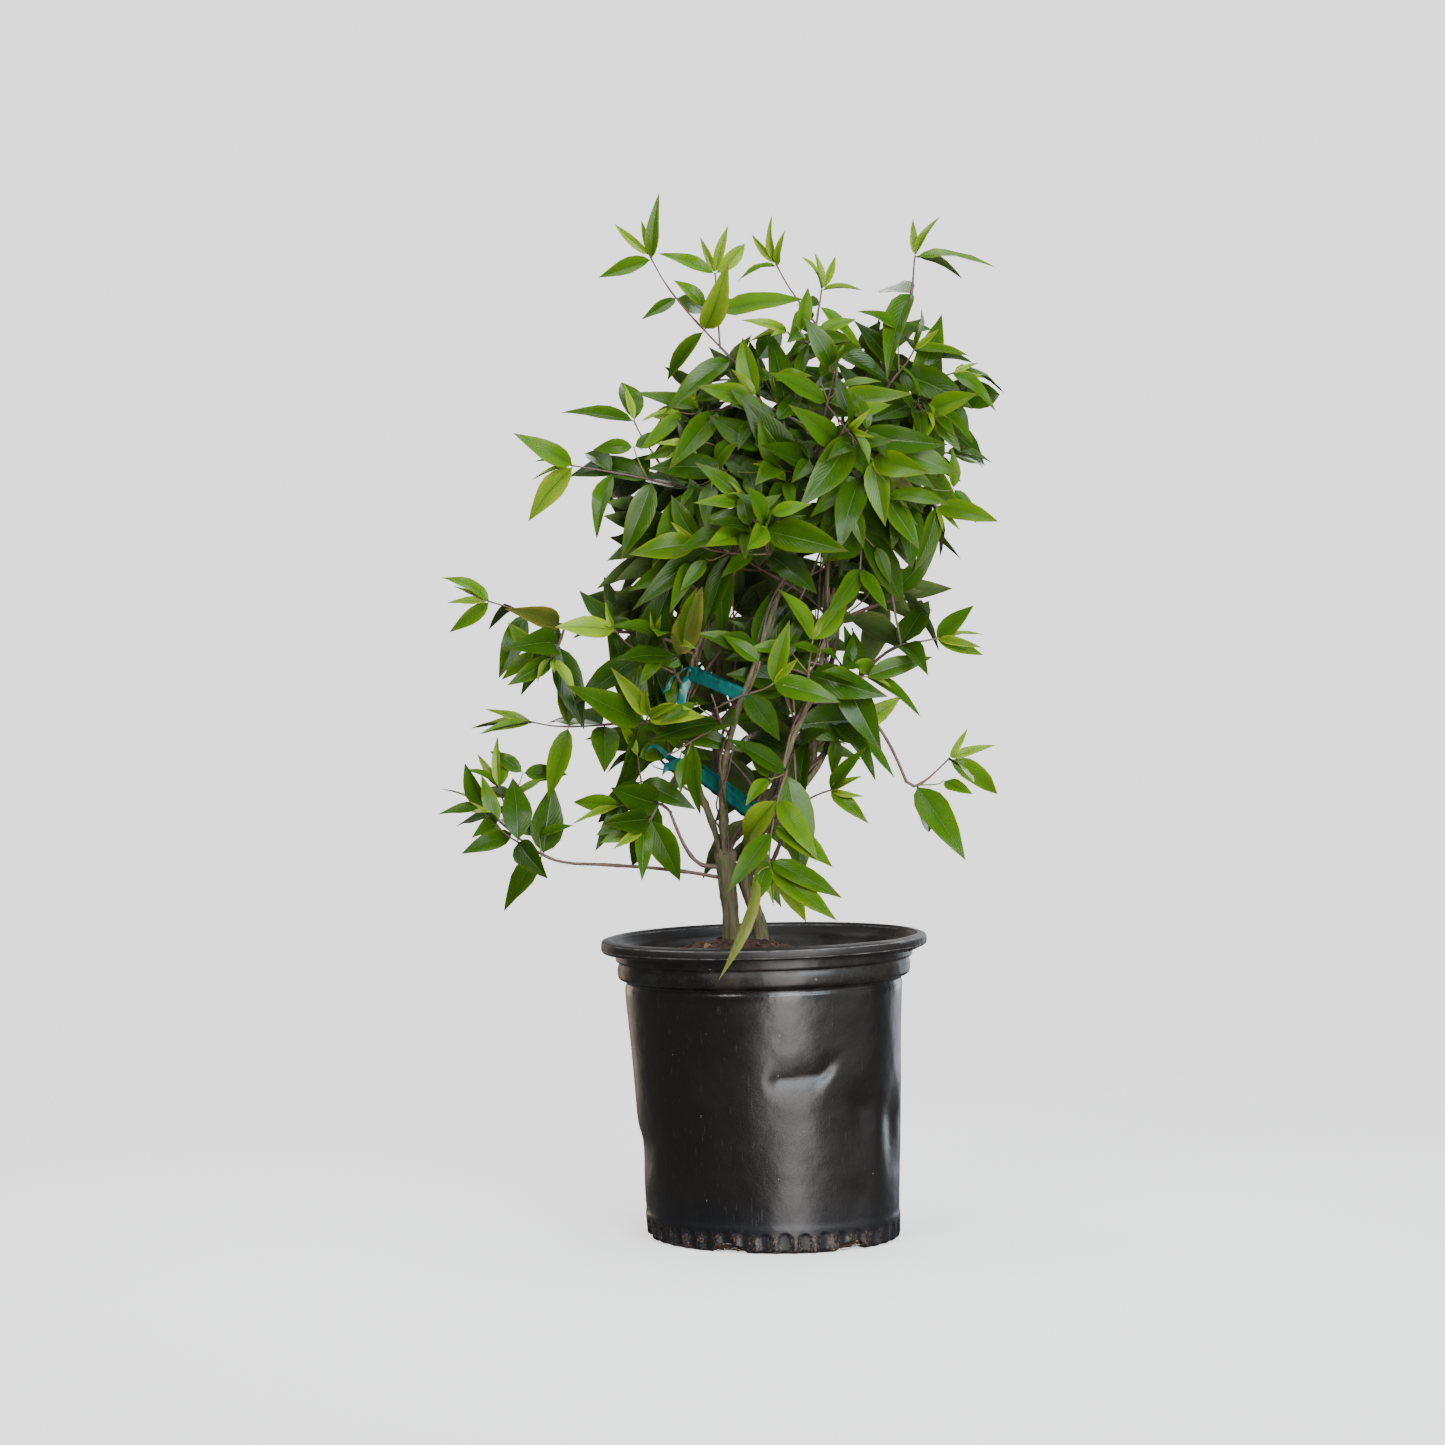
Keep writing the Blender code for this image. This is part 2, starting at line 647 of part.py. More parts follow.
def make_mass(name, twigs, leaves, collection, finish):
    """Joins one mass's twigs and leaves into one body."""
    joined = bpy.data.collections.new(name + "_pieces")
    bpy.context.scene.collection.children.link(joined)
    for i, twig in enumerate(twigs[1:]):
        joined.objects.link(tube(f"{name}_twig_{i}", twig, 3))
    for i, (frame, form) in enumerate(leaves):
        mesh = bpy.data.meshes.new("leaf")
        mesh.from_pydata(FORMS[form][0], [], FORMS[form][1])
        leaf = bpy.data.objects.new(f"{name}_leaf_{i}", mesh)
        leaf.matrix_world = frame
        joined.objects.link(leaf)
    stem = link(tube(name, twigs[0], 3), collection, finish)
    union = stem.modifiers.new("join", "BOOLEAN")
    union.operation = "UNION"
    union.operand_type = "COLLECTION"
    union.collection = joined
    union.solver = "MANIFOLD"
    mesh = evaluated_mesh(stem, name)
    stem.modifiers.clear()
    stem.data = mesh
    mesh.materials.clear()
    mesh.materials.append(finish)
    for obj in list(joined.objects):
        bpy.data.objects.remove(obj)
    bpy.data.collections.remove(joined)


def nearest_seats(tip, limbs):
    """Places on the leaders where a stem for this tip could leave, the nearest first."""
    places = []
    for limb in LEADERS:
        for step in range(5, 31):
            share = step / 30
            point = along(limbs[limb], share)[0]
            reach = (point - tip + UP * 0.035).length
            places.append((reach, limb, share, point))
    return sorted(places, key=lambda place: place[:3])


def seated(tip, face, seed, limbs, room, seats):
    """The mass with this tip on the nearest leader that has room for its stem, or None."""
    for _, limb, share, point in nearest_seats(tip, limbs):
        if min((point - seat).length for seat in seats) < SEAT_ROOM:
            continue
        for lift in RING_LIFTS:
            mass = Mass(limb, share, tip, lift, 2, 0.050, 1.08, 0.25, face, seed)
            if stem_fits(mass_stem(mass, limbs), room):
                seats.append(point)
                return mass
    return None


def ring_masses(tier, limbs, room, seats):
    """The masses of one ring of the crown, one by one as room is found for their stems."""
    for number, seed in enumerate(tier.seeds):
        rng = random.Random(f"{tier.name}{number}")
        bearing = tier.bearing + 360 * number / len(tier.seeds) + rng.uniform(-12, 12)
        out = polar(bearing, tier.half - HOLD)
        tip = Vector((tier.middle + out.x, out.y * CROWN_DEPTH, tier.z + rng.uniform(-0.02, 0.02)))
        face = polar(bearing, 0.5) + Vector((0, 0.7 if out.y > 0.02 else -0.7, 0.6))
        mass = seated(tip, face, seed, limbs, room, seats)
        if mass:
            yield f"crown_{tier.name}{number}", mass


# Ties: flat tape round two stems that keeps them together


def make_tie(name, row, limbs, collection, finish):
    """A loop of tape drawn round two leaders, from the one place to the other."""
    ends = (along(limbs[row.second], row.there), along(limbs[row.first], row.at))
    line = (ends[0][0] - ends[1][0]).normalized()
    bm = bmesh.new()
    low, high = [], []
    for (centre, rise, radius), start in zip(ends, (-90, 90)):
        out = rise.cross(line).normalized()
        across = out.cross(rise)
        for step in range(6):
            turn = math.radians(start + 36 * step)
            point = centre + (across * math.cos(turn) - out * math.sin(turn)) * (radius + TIE_SLACK)
            low.append(bm.verts.new(point - rise * row.width / 2))
            high.append(bm.verts.new(point + rise * row.width / 2))
    for i in range(len(low)):
        j = (i + 1) % len(low)
        bm.faces.new((low[i], low[j], high[j], high[i]))
    bmesh.ops.recalc_face_normals(bm, faces=bm.faces)
    bmesh.ops.solidify(bm, geom=bm.faces, thickness=-TAPE)
    bmesh.ops.recalc_face_normals(bm, faces=bm.faces)
    mesh = bpy.data.meshes.new(name)
    bm.to_mesh(mesh)
    bm.free()
    return link(bpy.data.objects.new(name, mesh), collection, finish)


def main():
    clear_scene()
    collection = bpy.data.collections.new("potted_carolina_jessamine")
    cutters = bpy.data.collections.new("cutters")
    for made in (collection, cutters):
        bpy.context.scene.collection.children.link(made)
    green = material("leaf", GREEN, 0.45)
    bark = material("bark", BARK, 0.85)
    tape = material("tape", TEAL, 0.40)
    room = Room()
    room.add(*shape_of(make_pot(collection, cutters, material("pot_plastic", BLACK, 0.38))))
    room.add(*shape_of(make_soil(collection, material("soil_mix", SOIL_BROWN, 0.95))))

    limbs = {
        "trunk_left": trunk(LEFT_FOOT, LEFT_FORK, LEFT_RADIUS),
        "trunk_right": trunk(RIGHT_FOOT, RIGHT_FORK, RIGHT_RADIUS),
    }
    for name, row in LEADERS.items():
        limbs[name] = leader(row, limbs)
    for name, row in BOUGHS.items():
        limbs[name] = branch(limbs[row.limb], row.at, row.tip, row.lift, row.lean, 7, row.radius, TWIG_RADIUS)
    for name, limb in limbs.items():
        made = link(tube(name, limb, 8 if name.startswith("trunk") else 6), collection, bark)
        made.data.shade_smooth()
        room.add(*shape_of(made))
    for name, row in TIES.items():
        room.add(*shape_of(make_tie(name, row, limbs, collection, tape)))

    seats = [along(limbs[mass.limb], mass.at)[0] for mass in SPRAYS.values()]
    for name, mass in SPRAYS.items():
        make_mass("spray_" + name, *grow(mass, limbs, room), collection, green)
    for tier in TIERS:
        for name, mass in ring_masses(tier, limbs, room, seats):
            make_mass(name, *grow(mass, limbs, room), collection, green)
    bpy.data.objects.remove(bpy.data.objects["twig_section"])


main()
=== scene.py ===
"""Looks of a potted Carolina jessamine: glossy leaves on twining stems, in a soft black pot.

Metres, +Z up. The origin is the centre of the pot's flat underside, and -Y is the front.
Stems and leaves follow the rule that made the solids, and go on from there to finer shoots.
"""

from collections import namedtuple
from itertools import pairwise, product
from math import atan2, cos, degrees, exp, floor, hypot, pi, radians, sin, sqrt
from random import Random

import bmesh
import bpy
from mathutils import Matrix, Vector, noise
from mathutils.bvhtree import BVHTree
from mathutils.kdtree import KDTree


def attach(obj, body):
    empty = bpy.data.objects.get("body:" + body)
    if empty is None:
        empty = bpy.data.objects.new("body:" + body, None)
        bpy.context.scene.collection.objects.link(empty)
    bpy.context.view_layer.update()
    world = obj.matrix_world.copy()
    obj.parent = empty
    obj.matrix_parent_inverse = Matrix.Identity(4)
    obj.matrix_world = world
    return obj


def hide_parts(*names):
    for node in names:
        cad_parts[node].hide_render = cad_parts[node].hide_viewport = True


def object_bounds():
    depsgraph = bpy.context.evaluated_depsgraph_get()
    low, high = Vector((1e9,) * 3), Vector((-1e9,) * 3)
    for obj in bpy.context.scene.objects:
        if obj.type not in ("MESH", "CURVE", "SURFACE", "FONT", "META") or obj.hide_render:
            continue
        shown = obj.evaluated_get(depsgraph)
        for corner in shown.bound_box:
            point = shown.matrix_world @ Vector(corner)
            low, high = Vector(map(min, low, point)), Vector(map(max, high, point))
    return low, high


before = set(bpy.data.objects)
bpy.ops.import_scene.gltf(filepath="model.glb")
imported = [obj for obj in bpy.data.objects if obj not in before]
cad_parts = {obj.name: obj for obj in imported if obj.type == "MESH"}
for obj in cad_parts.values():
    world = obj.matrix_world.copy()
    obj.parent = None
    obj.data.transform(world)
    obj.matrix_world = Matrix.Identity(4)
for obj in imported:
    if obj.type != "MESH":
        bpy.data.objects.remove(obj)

cad_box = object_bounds()

UP = Vector((0, 0, 1))
CLEAR = 0.0003

# Pot: it is round and plain at first, then dented and tilted, and leans to one side
POT_HEIGHT = 0.25
BASE_RADIUS = 0.104
WALL_TOP_RADIUS = 0.1148
WALL_TOP_Z = 0.209
DIP_Z = 0.2126
DIP_TOP_Z = 0.2144
DIP_DEPTH = 0.0013
COLLAR_RADIUS = 0.1215
WALL = 0.0018
FLOOR = 0.0025
LEAN = -0.0088
LEAN_Z = 0.2
RIM_TILT = 0.026
DRAIN_COUNT = 6
DRAIN_START = -112
DRAIN_RADIUS = 0.012
DRAIN_DROP = 0.0038
DRAIN_STRETCH = 1.3
POT_TURNS = 360
WALL_ROWS = 96
INNER_TOP_Z = 0.205
INNER_ROWS = 54
FLUTES = 40
FLUTE_HEIGHT = 0.0175
FLUTE_DEPTH = 0.003
FOOT_STEP = 0.0009
FLUTE_ZONE = 0.02
# Each dent: bearing in degrees and height of its middle, half spread of each, depth, and how
# sharp its upper lip is
Dent = namedtuple("Dent", "bearing z spread tall depth lip")
DENTS = (
    Dent(-46, 0.112, 0.17, 0.028, 0.0046, 1.5),
    Dent(-20, 0.1, 0.17, 0.033, 0.005, 1.6),
    Dent(188, 0.078, 0.3, 0.022, 0.0035, 1.8),
    Dent(95, 0.14, 0.3, 0.03, 0.006, 1.6),
    Dent(-100, 0.06, 0.26, 0.03, 0.0014, 1.0),
    Dent(-112, 0.15, 0.2, 0.03, 0.001, 1.0),
    Dent(-48, 0.045, 0.12, 0.014, 0.0014, 1.0),
)
# A crease in the front: its height at the left, how much it rises to the right, its two ends,
# depth, and how far it fades below and above
CREASE_Z = 0.14
CREASE_RISE = 0.005
CREASE_LEFT = radians(-93)
CREASE_RIGHT = radians(-63)
CREASE_DEPTH = 0.005
CREASE_BELOW = 0.0235
CREASE_ABOVE = 0.023
# The lip: where it begins, and the bearings of its moulding seam and of the knock that it took
LIP_Z = 0.2395
LIP_RADIUS = 0.1255
LIP_SEAM = -107
KNOCK = -29
# Outlines, as radius and height: the inner wall's upper end, then the flared lip, the neck below it
# and the collar from the inner edge out and down, and the underside
INNER_RIM = [
    (0.1122, 0.21), (0.112, 0.213), (0.1128, 0.2156), (0.116, 0.2174), (0.1182, 0.2192),
    (0.1188, 0.2232), (0.1188, 0.2312), (0.1204, 0.233), (0.1214, 0.2376), (0.123, 0.2412),
    (0.125, 0.244),
]
OUTER_RIM = [
    (0.1262, 0.2478), (0.1266, 0.2492), (0.1276, 0.2499), (0.129, 0.25), (0.1302, 0.2496),
    (0.1328, 0.2489), (0.1341, 0.2482), (0.1348, 0.247), (0.135, 0.2452), (0.135, 0.2428),
    (0.1346, 0.2413), (0.1336, 0.2403), (0.1318, 0.2402), (0.1272, 0.2408), (0.124, 0.2403),
    (0.1232, 0.239), (0.123, 0.236), (0.1229, 0.233), (0.1227, 0.2318), (0.1219, 0.2311),
    (0.1203, 0.2308), (0.1198, 0.2299), (0.1202, 0.2285), (0.1209, 0.2266), (0.1212, 0.2242),
    (0.1211, 0.2216), (0.1208, 0.219), (0.1202, 0.2174), (0.1188, 0.2162), (0.1168, 0.2154),
    (0.1154, 0.2149),
]
UNDERSIDE_RING = [
    (BASE_RADIUS + 0.0002, 0.0014), (BASE_RADIUS - 0.0016, 0.0003), (BASE_RADIUS - 0.004, 0.0),
    (0.07, 0.0), (0.0, 0.0), (0.0, FLOOR),
]

# Soil
SOIL_EDGE_Z = 0.2285
SOIL_TOP_Z = 0.24
HEAP_X = -0.022
HEAP_Z = 0.248
HEAP_REACH = 0.1
ROOT_GAP = 0.003
SOIL_RINGS = 44
SOIL_TURNS = 144
CHIPS = 620
CHIP_SIZES = (0.0028, 0.004, 0.005, 0.007, 0.01)
ROOTS = 9
# Pieces of bits in the soil: the name of the finish, and its dark and pale colours
SOIL_BITS = {
    "dark_chips": ("dark_chip", (0.018, 0.01, 0.007), (0.06, 0.032, 0.02)),
    "brown_chips": ("brown_chip", (0.06, 0.028, 0.014), (0.15, 0.072, 0.036)),
    "pale_chips": ("pale_chip", (0.16, 0.095, 0.05), (0.3, 0.21, 0.13)),
    "drain_roots": ("dark_root", (0.01, 0.006, 0.004), (0.06, 0.032, 0.018)),
    "pale_fibres": ("pale_fibre", (0.3, 0.27, 0.22), (0.5, 0.47, 0.42)),
}

# Stems, as in the solids. Each trunk has its foot on the soil, its fork and its radius. Leaders wind
# round one line from low to high, bulge out half way and fan out at the top.
TRUNKS = {
    "trunk_left": ((-0.035, -0.002), (-0.0405, -0.001, 0.315), 0.0066),
    "trunk_right": ((-0.01, 0.004), (-0.025, 0.0105, 0.304), 0.0052),
}
FLARE = 0.35
BURL = 0.4
AXIS_LOW = Vector((-0.036, 0.004, 0.316))
AXIS_HIGH = Vector((0.03, 0.0, 0.7))
BULGE = 0.048
FAN = 0.03
WIND = 65  # degrees
WOBBLE = 0.0035
SETTLE = 0.2
LEADER_POINTS = 11
LEADER_RADIUS = 0.0029
LEADER_TIP_RADIUS = 0.0016
TWIN_TURNS = 2.4
TWIN_START = -146  # degrees
TWIN_RADIUS = 0.0056
# The rounded end of a trunk: how high each row stands above it, and its share of the radius
TRUNK_CAP = ((0.002, 0.98), (0.0042, 0.9), (0.0062, 0.74), (0.0078, 0.5), (0.0086, 0.22))
# Thin stems that wind round each leader: start and end on it, and turns
TWINERS = ((0.05, 0.66, 3.4), (0.2, 0.9, -2.6), (0.42, 0.97, 2.2))
TWINER_STEPS = 46
OLD_STEMS = 18

# Foliage, as in the solids. The crown is a little flattened, and the stems of its rings end this far
# within its outline.
CROWN_DEPTH = 0.86
HOLD = 0.046
RING_LIFTS = (0.05, 0.25, -0.15)
LEAF_LENGTH = 0.07
LEAF_WIDTH = 0.3
NODE_SPACING = 0.036
TWIG_RADIUS = 0.0013
TWIG_TIP_RADIUS = 0.00055
LEAF_SINK = 0.35
TRIES = 6
# How near a try's rings and leaf tip have to be to the solid's corners, to be the one that stands
TWIG_FITS = 0.0004
LEAF_FITS = 0.00005
# The share of a stem and of a twig before its first pair of leaves
BARE_STEM = 0.3
BARE_TWIG = 0.42
SIDES = (1, -1)
# How deep the tip hangs in each form of blade, as a share of its length
ARCHES = (0.03, 0.1, 0.18, 0.28)
# Side of the cells of space that the room test sorts shapes into
CELL = 0.03
# How far the ties stand off the stems, and how thick their tape is
TIE_SLACK = 0.0005
TAPE = 0.00035

Limb = namedtuple("Limb", "path radii")
Leader = namedtuple("Leader", "trunk seat bearing top twin")
Bough = namedtuple("Bough", "limb at tip lift radius lean")
Mass = namedtuple("Mass", "limb at tip lift twigs twig leaf droop face seed")
Tier = namedtuple("Tier", "name z middle half bearing seeds")
Tie = namedtuple("Tie", "first at second there width")

LEADERS = {
    "leader_left": Leader("trunk_left", 175, 165, 0.88, 0),
    "leader_front_left": Leader("trunk_left", 265, 235, 1.0, 0),
    "leader_back_left": Leader("trunk_left", 85, 105, 0.94, 0),
    "leader_front": Leader("trunk_right", 270, 290, 0.92, 0),
    "leader_right": Leader("trunk_right", 30, 350, 1.0, 1),
    "leader_right_twin": Leader("trunk_right", 150, 350, 0.86, -1),
}

BOUGHS = {
    "bough_far_left": Bough("trunk_left", 0.8, (-0.166, -0.014, 0.31), 0.02, 0.0016, 0.3),
    "bough_low_left": Bough("trunk_left", 0.9, (-0.086, -0.014, 0.352), -0.28, 0.0019, 0.0),
    "bough_low_right": Bough("trunk_right", 0.8, (0.012, -0.01, 0.345), -0.05, 0.0024, 0.2),
    "bough_left": Bough("leader_left", 0.54, (-0.15, -0.015, 0.503), 0.05, 0.0014, 0.5),
    "bough_right": Bough("leader_right", 0.4, (0.092, -0.01, 0.484), 0.05, 0.002, 0.7),
    "bough_right_stub": Bough("leader_right", 0.56, (0.108, 0.008, 0.531), 0.03, 0.0018, 0.4),
    "bough_right_hanging": Bough("leader_front", 0.44, (0.108, -0.026, 0.379), 0.42, 0.0014, 0.5),
    "bough_top_right": Bough("leader_right", 0.97, (0.11, 0.004, 0.768), -0.16, 0.0013, 0.2),
}

TIES = {
    "tie_low": Tie("leader_left", 3.2 / LEADER_POINTS, "leader_front", 2.25 / LEADER_POINTS, 0.015),
    "tie_mid": Tie("leader_left", 5.5 / LEADER_POINTS, "leader_front_left", 4.5 / LEADER_POINTS, 0.012),
}

# The ways that the upper sides of leaves look
LEVEL = (0, -1, 0.3)
RAISED = (0, -1, 0.8)
TO_LEFT = (-0.4, -1, 0.5)
TO_RIGHT = (0.4, -1, 0.5)
SKYWARD = (0, -0.3, 1.0)
BACK = (0, 1, 0.4)

# Sprays that stand out of the crown. The tip is where the stem ends.
SPRAYS = {
    "top_left": Mass("leader_left", 1, (-0.104, -0.03, 0.812), -0.1, 2, 0.06, 1.05, 0.9, LEVEL, 516),
    "top_centre": Mass("leader_front_left", 1, (0, -0.03, 0.804), -0.04, 2, 0.035, 0.78, 0.9, RAISED, 241),
    "top_right": Mass("bough_top_right", 1, (0.116, 0, 0.812), 0.1, 0, 0.035, 1.48, 1.1, SKYWARD, 534),
    "left_high": Mass("leader_front_left", 0.7, (-0.17, -0.04, 0.638), 0.06, 2, 0.06, 1.15, 0.9, LEVEL, 428),
    "left": Mass("bough_left", 1, (-0.237, -0.02, 0.527), 0, 1, 0.06, 0.9, 0.7, TO_RIGHT, 235),
    "left_low": Mass("leader_left", 0.37, (-0.202, -0.03, 0.428), -0.08, 1, 0.035, 1.15, 0.1, RAISED, 613),
    "far_left": Mass("bough_far_left", 1, (-0.242, -0.02, 0.358), -0.04, 2, 0.06, 0.81, 0.1, RAISED, 186),
    "low_left": Mass("bough_low_left", 1, (-0.128, -0.02, 0.358), 0, 2, 0.035, 0.8, 0.9, LEVEL, 620),
    "low_front": Mass("leader_front", 0.3, (-0.006, -0.086, 0.312), 0.47, 0, 0.05, 1.1, 0.36, LEVEL, 534),
    "low_right": Mass("bough_low_right", 1, (0.046, -0.04, 0.372), 0.1, 1, 0.06, 0.94, 0.5, TO_LEFT, 595),
    "right": Mass("bough_right", 1, (0.134, -0.016, 0.496), 0, 1, 0.06, 0.89, 0.1, LEVEL, 676),
    "right_low": Mass(
        "bough_right_hanging", 1, (0.144, -0.026, 0.398), -0.12, 0, 0.05, 1.04, 1.2, TO_RIGHT, 501
    ),
    "back": Mass("leader_back_left", 0.6, (-0.036, 0.176, 0.556), 0.04, 2, 0.06, 1.15, 0.1, BACK, 573),
    "back_low": Mass("leader_back_left", 0.2, (0.03, 0.14, 0.404), 0.08, 2, 0.05, 1.1, 0.1, BACK, 513),
}

# The body of the crown: rings of masses. Each ring has its height, the middle and half width of
# the crown's outline there, the bearing of its first mass and the seeds of them all.
TIERS = (
    Tier("a", 0.704, 0.058, 0.138, 255, (30800, 29301, 4102, 5703)),
    Tier("b", 0.655, 0.03, 0.16, 215, (4600, 31501, 19502, 503, 5504)),
    Tier("c", 0.59, 0.004, 0.165, 250, (19900, 1301, 2702, 10803, 5704)),
    Tier("d", 0.515, -0.028, 0.128, 215, (5900, 701, 10202, 11603)),
    Tier("e", 0.455, -0.032, 0.112, 255, (3300, 8601, 702, 1503)),
)

# Leaf blades: shares of the length at which rows of points stand, and of the half width
ROWS = (0.0, 0.045, 0.12, 0.24, 0.38, 0.54, 0.7, 0.86, 1.0)
UPPER = (-1.0, -0.5, -0.028, 0.028, 0.5, 1.0)
LOWER = (-1.0, 0.0, 1.0)
PETIOLE = 0.05

# The ways that a blade bends: hump along it, sideways bow, fold along the rib, wave of the edges
Bend = namedtuple("Bend", "hump sickle fold wave phase twist")
BENDS = (
    (0.05, 0.035, 0.075, 0.008),
    (0.015, -0.045, 0.03, 0.016),
    (0.08, 0.02, 0.05, 0.024),
    (-0.015, -0.02, 0.06, 0.012),
    (0.035, 0.06, 0.018, 0.02),
)

# Plain leaf colours, from the oldest to the youngest, dealt out by spray
TINTS = {
    "deep": (0.019, 0.058, 0.0008),
    "green": (0.034, 0.094, 0.001),
    "bright": (0.064, 0.152, 0.0018),
    "young": (0.15, 0.255, 0.012),
    "faded": (0.095, 0.12, 0.016),
}
AGES = ("deep", "green", "bright", "young")
# Leaves of the low front: how far along its stem they sit, end, width, facing and tint
LOW_FRONT = (
    (0.84, (-0.04, -0.108, 0.296), 0.02, (-0.3, -1, 0.5), "green"),
    (0.8, (0.046, -0.104, 0.3165), 0.0215, (0.1, -1, 0.8), "bright"),
    (0.97, (0.053, -0.112, 0.2925), 0.0205, (0.1, -1, 0.7), "green"),
    (1.0, (0.0485, -0.118, 0.2745), 0.02, (0.1, -1, 0.5), "bright"),
)
# The narrow leaf that hangs over the rim: its foot from the stem's tip, end, width, facing and tint
HANGING = ((-0.009, -0.03, -0.004), (-0.041, -0.157, 0.2275), 0.0115, (0.6, -1, 0.1), "faded")
# Colours of the underside and of the rib on top
UNDERSIDE = (0.07, 0.118, 0.026)
RIB = (0.05, 0.108, 0.008)
# Scales of some leaves: a little broader in the crown, narrow at the top, broad low down, and buds
CROWN_LEAF = (1.06, 0.93, 0.93, 1)
TOP_LEAF = (0.8, 0.94, 0.94, 1)
LOW_LEAF = (1.24, 1, 1, 1)
BUD_LEAF = (0.58, 1, 1, 1)
# The finer growth within the crown keeps this far from its outline, and out of these round openings
EDGE_LEFT_OPEN = 0.048
SKY = (
    (-0.096, 0.532, 0.016), (-0.06, 0.492, 0.018), (-0.054, 0.462, 0.026), (-0.008, 0.51, 0.018),
    (-0.096, 0.42, 0.026), (0.04, 0.47, 0.016), (0.076, 0.52, 0.018),
)
# Round places where a tie shows between the leaves
TIE_SHOWS = ((-0.07, 0.461, 0.026), (-0.104, 0.392, 0.024))
# Sprays with the broad leaves, and sprays that hold the younger tints
BROAD_LEAVED = ("spray_far_left", "spray_low_left")
LIGHT_SPRAYS = ("top_left", "top_centre", "top_right", "low_front", "right_low", "left_low")

# The ties' loose ends: width, the way that the width lies, and the points that each runs through
Tail = namedtuple("Tail", "width across path")
TAILS = {
    "tie_low": (
        Tail(0.006, (0.3, -0.5, 1), (
            (-0.078, -0.001, 0.393), (-0.088, -0.008, 0.398), (-0.098, -0.012, 0.407),
            (-0.106, -0.01, 0.403), (-0.107, -0.008, 0.394),
        )),
        Tail(0.012, (0.2, 0, 1), ((-0.076, -0.002, 0.39), (-0.084, -0.01, 0.392), (-0.092, -0.014, 0.388))),
    ),
    "tie_mid": (
        Tail(0.014, (1, -0.2, 0.5), (
            (-0.068, -0.004, 0.47), (-0.072, -0.012, 0.462),
            (-0.076, -0.014, 0.448), (-0.079, -0.013, 0.436),
        )),
        Tail(0.009, (1, 0, 0.7), ((-0.07, -0.004, 0.472), (-0.082, -0.009, 0.466), (-0.09, -0.009, 0.452))),
    ),
}

# Camera: its place, how many degrees it looks down, and its lens and sensor in millimetres
CAMERA_PLACE = (-0.043, -3.4, 0.53)
CAMERA_DIP = 1.75
CAMERA_LENS = 102.3
SENSOR_WIDTH = 36

# Studio: glow of the backdrop and the floor, the light from all round, and each lamp's place,
# height that it points at, size, power and colour
BACKDROP = 1.9
FLOOR_GLOW = 0.9
WORLD_LIGHT = 0.17
LIGHTS = {
    "key": ((-1.4, -2.2, 2.4), 0.5, (1.1, 1.1), 50, (1.0, 0.985, 0.955)),
    "tall_window": ((0.76, -2.26, 0.6), 0.3, (1.2, 2.4), 70, (1.0, 0.96, 0.94)),
    "table_glow": ((0.66, -1.96, -0.85), 0.15, (1.2, 0.9), 11, (1.0, 0.94, 0.9)),
    "room_glow": ((2.2, -0.8, 0.7), 0.3, (2.0, 2.2), 10, (1.0, 0.93, 0.86)),
    "sky_patch": ((1.2, -2.08, 1.46), 0.15, (2.2, 0.6), 54, (0.72, 0.86, 1.0)),
    "right_edge": ((0.98, 1.56, 0.6), 0.3, (0.6, 1.5), 10, (0.82, 0.91, 1.0)),
    "left_edge": ((-1.15, 1.9, 0.3), 0.2, (0.5, 1.0), 5, (1.0, 0.8, 0.62)),
    "back_fill": ((0.3, 2.9, 1.7), 0.5, (2.2, 1.6), 28, (1, 1, 1)),
    "left_fill": ((-1.9, 0.5, 2.3), 0.5, (1.4, 1.4), 20, (1, 1, 1)),
    "top": ((0.2, 0.3, 2.7), 0.5, (1.6, 1.6), 33, (1, 1, 1)),
}


# Shader maths


class Value:
    """A shader socket that takes part in sums; each step adds a Math node to its tree."""

    def __init__(self, look, socket):
        self.look = look
        self.socket = socket

    def __add__(self, other):
        return self.look.math("ADD", self, other)

    def __sub__(self, other):
        return self.look.math("SUBTRACT", self, other)

    def __rsub__(self, other):
        return self.look.math("SUBTRACT", other, self)

    def __mul__(self, other):
        return self.look.math("MULTIPLY", self, other)

    def __abs__(self):
        return self.look.math("ABSOLUTE", self)

    __radd__ = __add__
    __rmul__ = __mul__


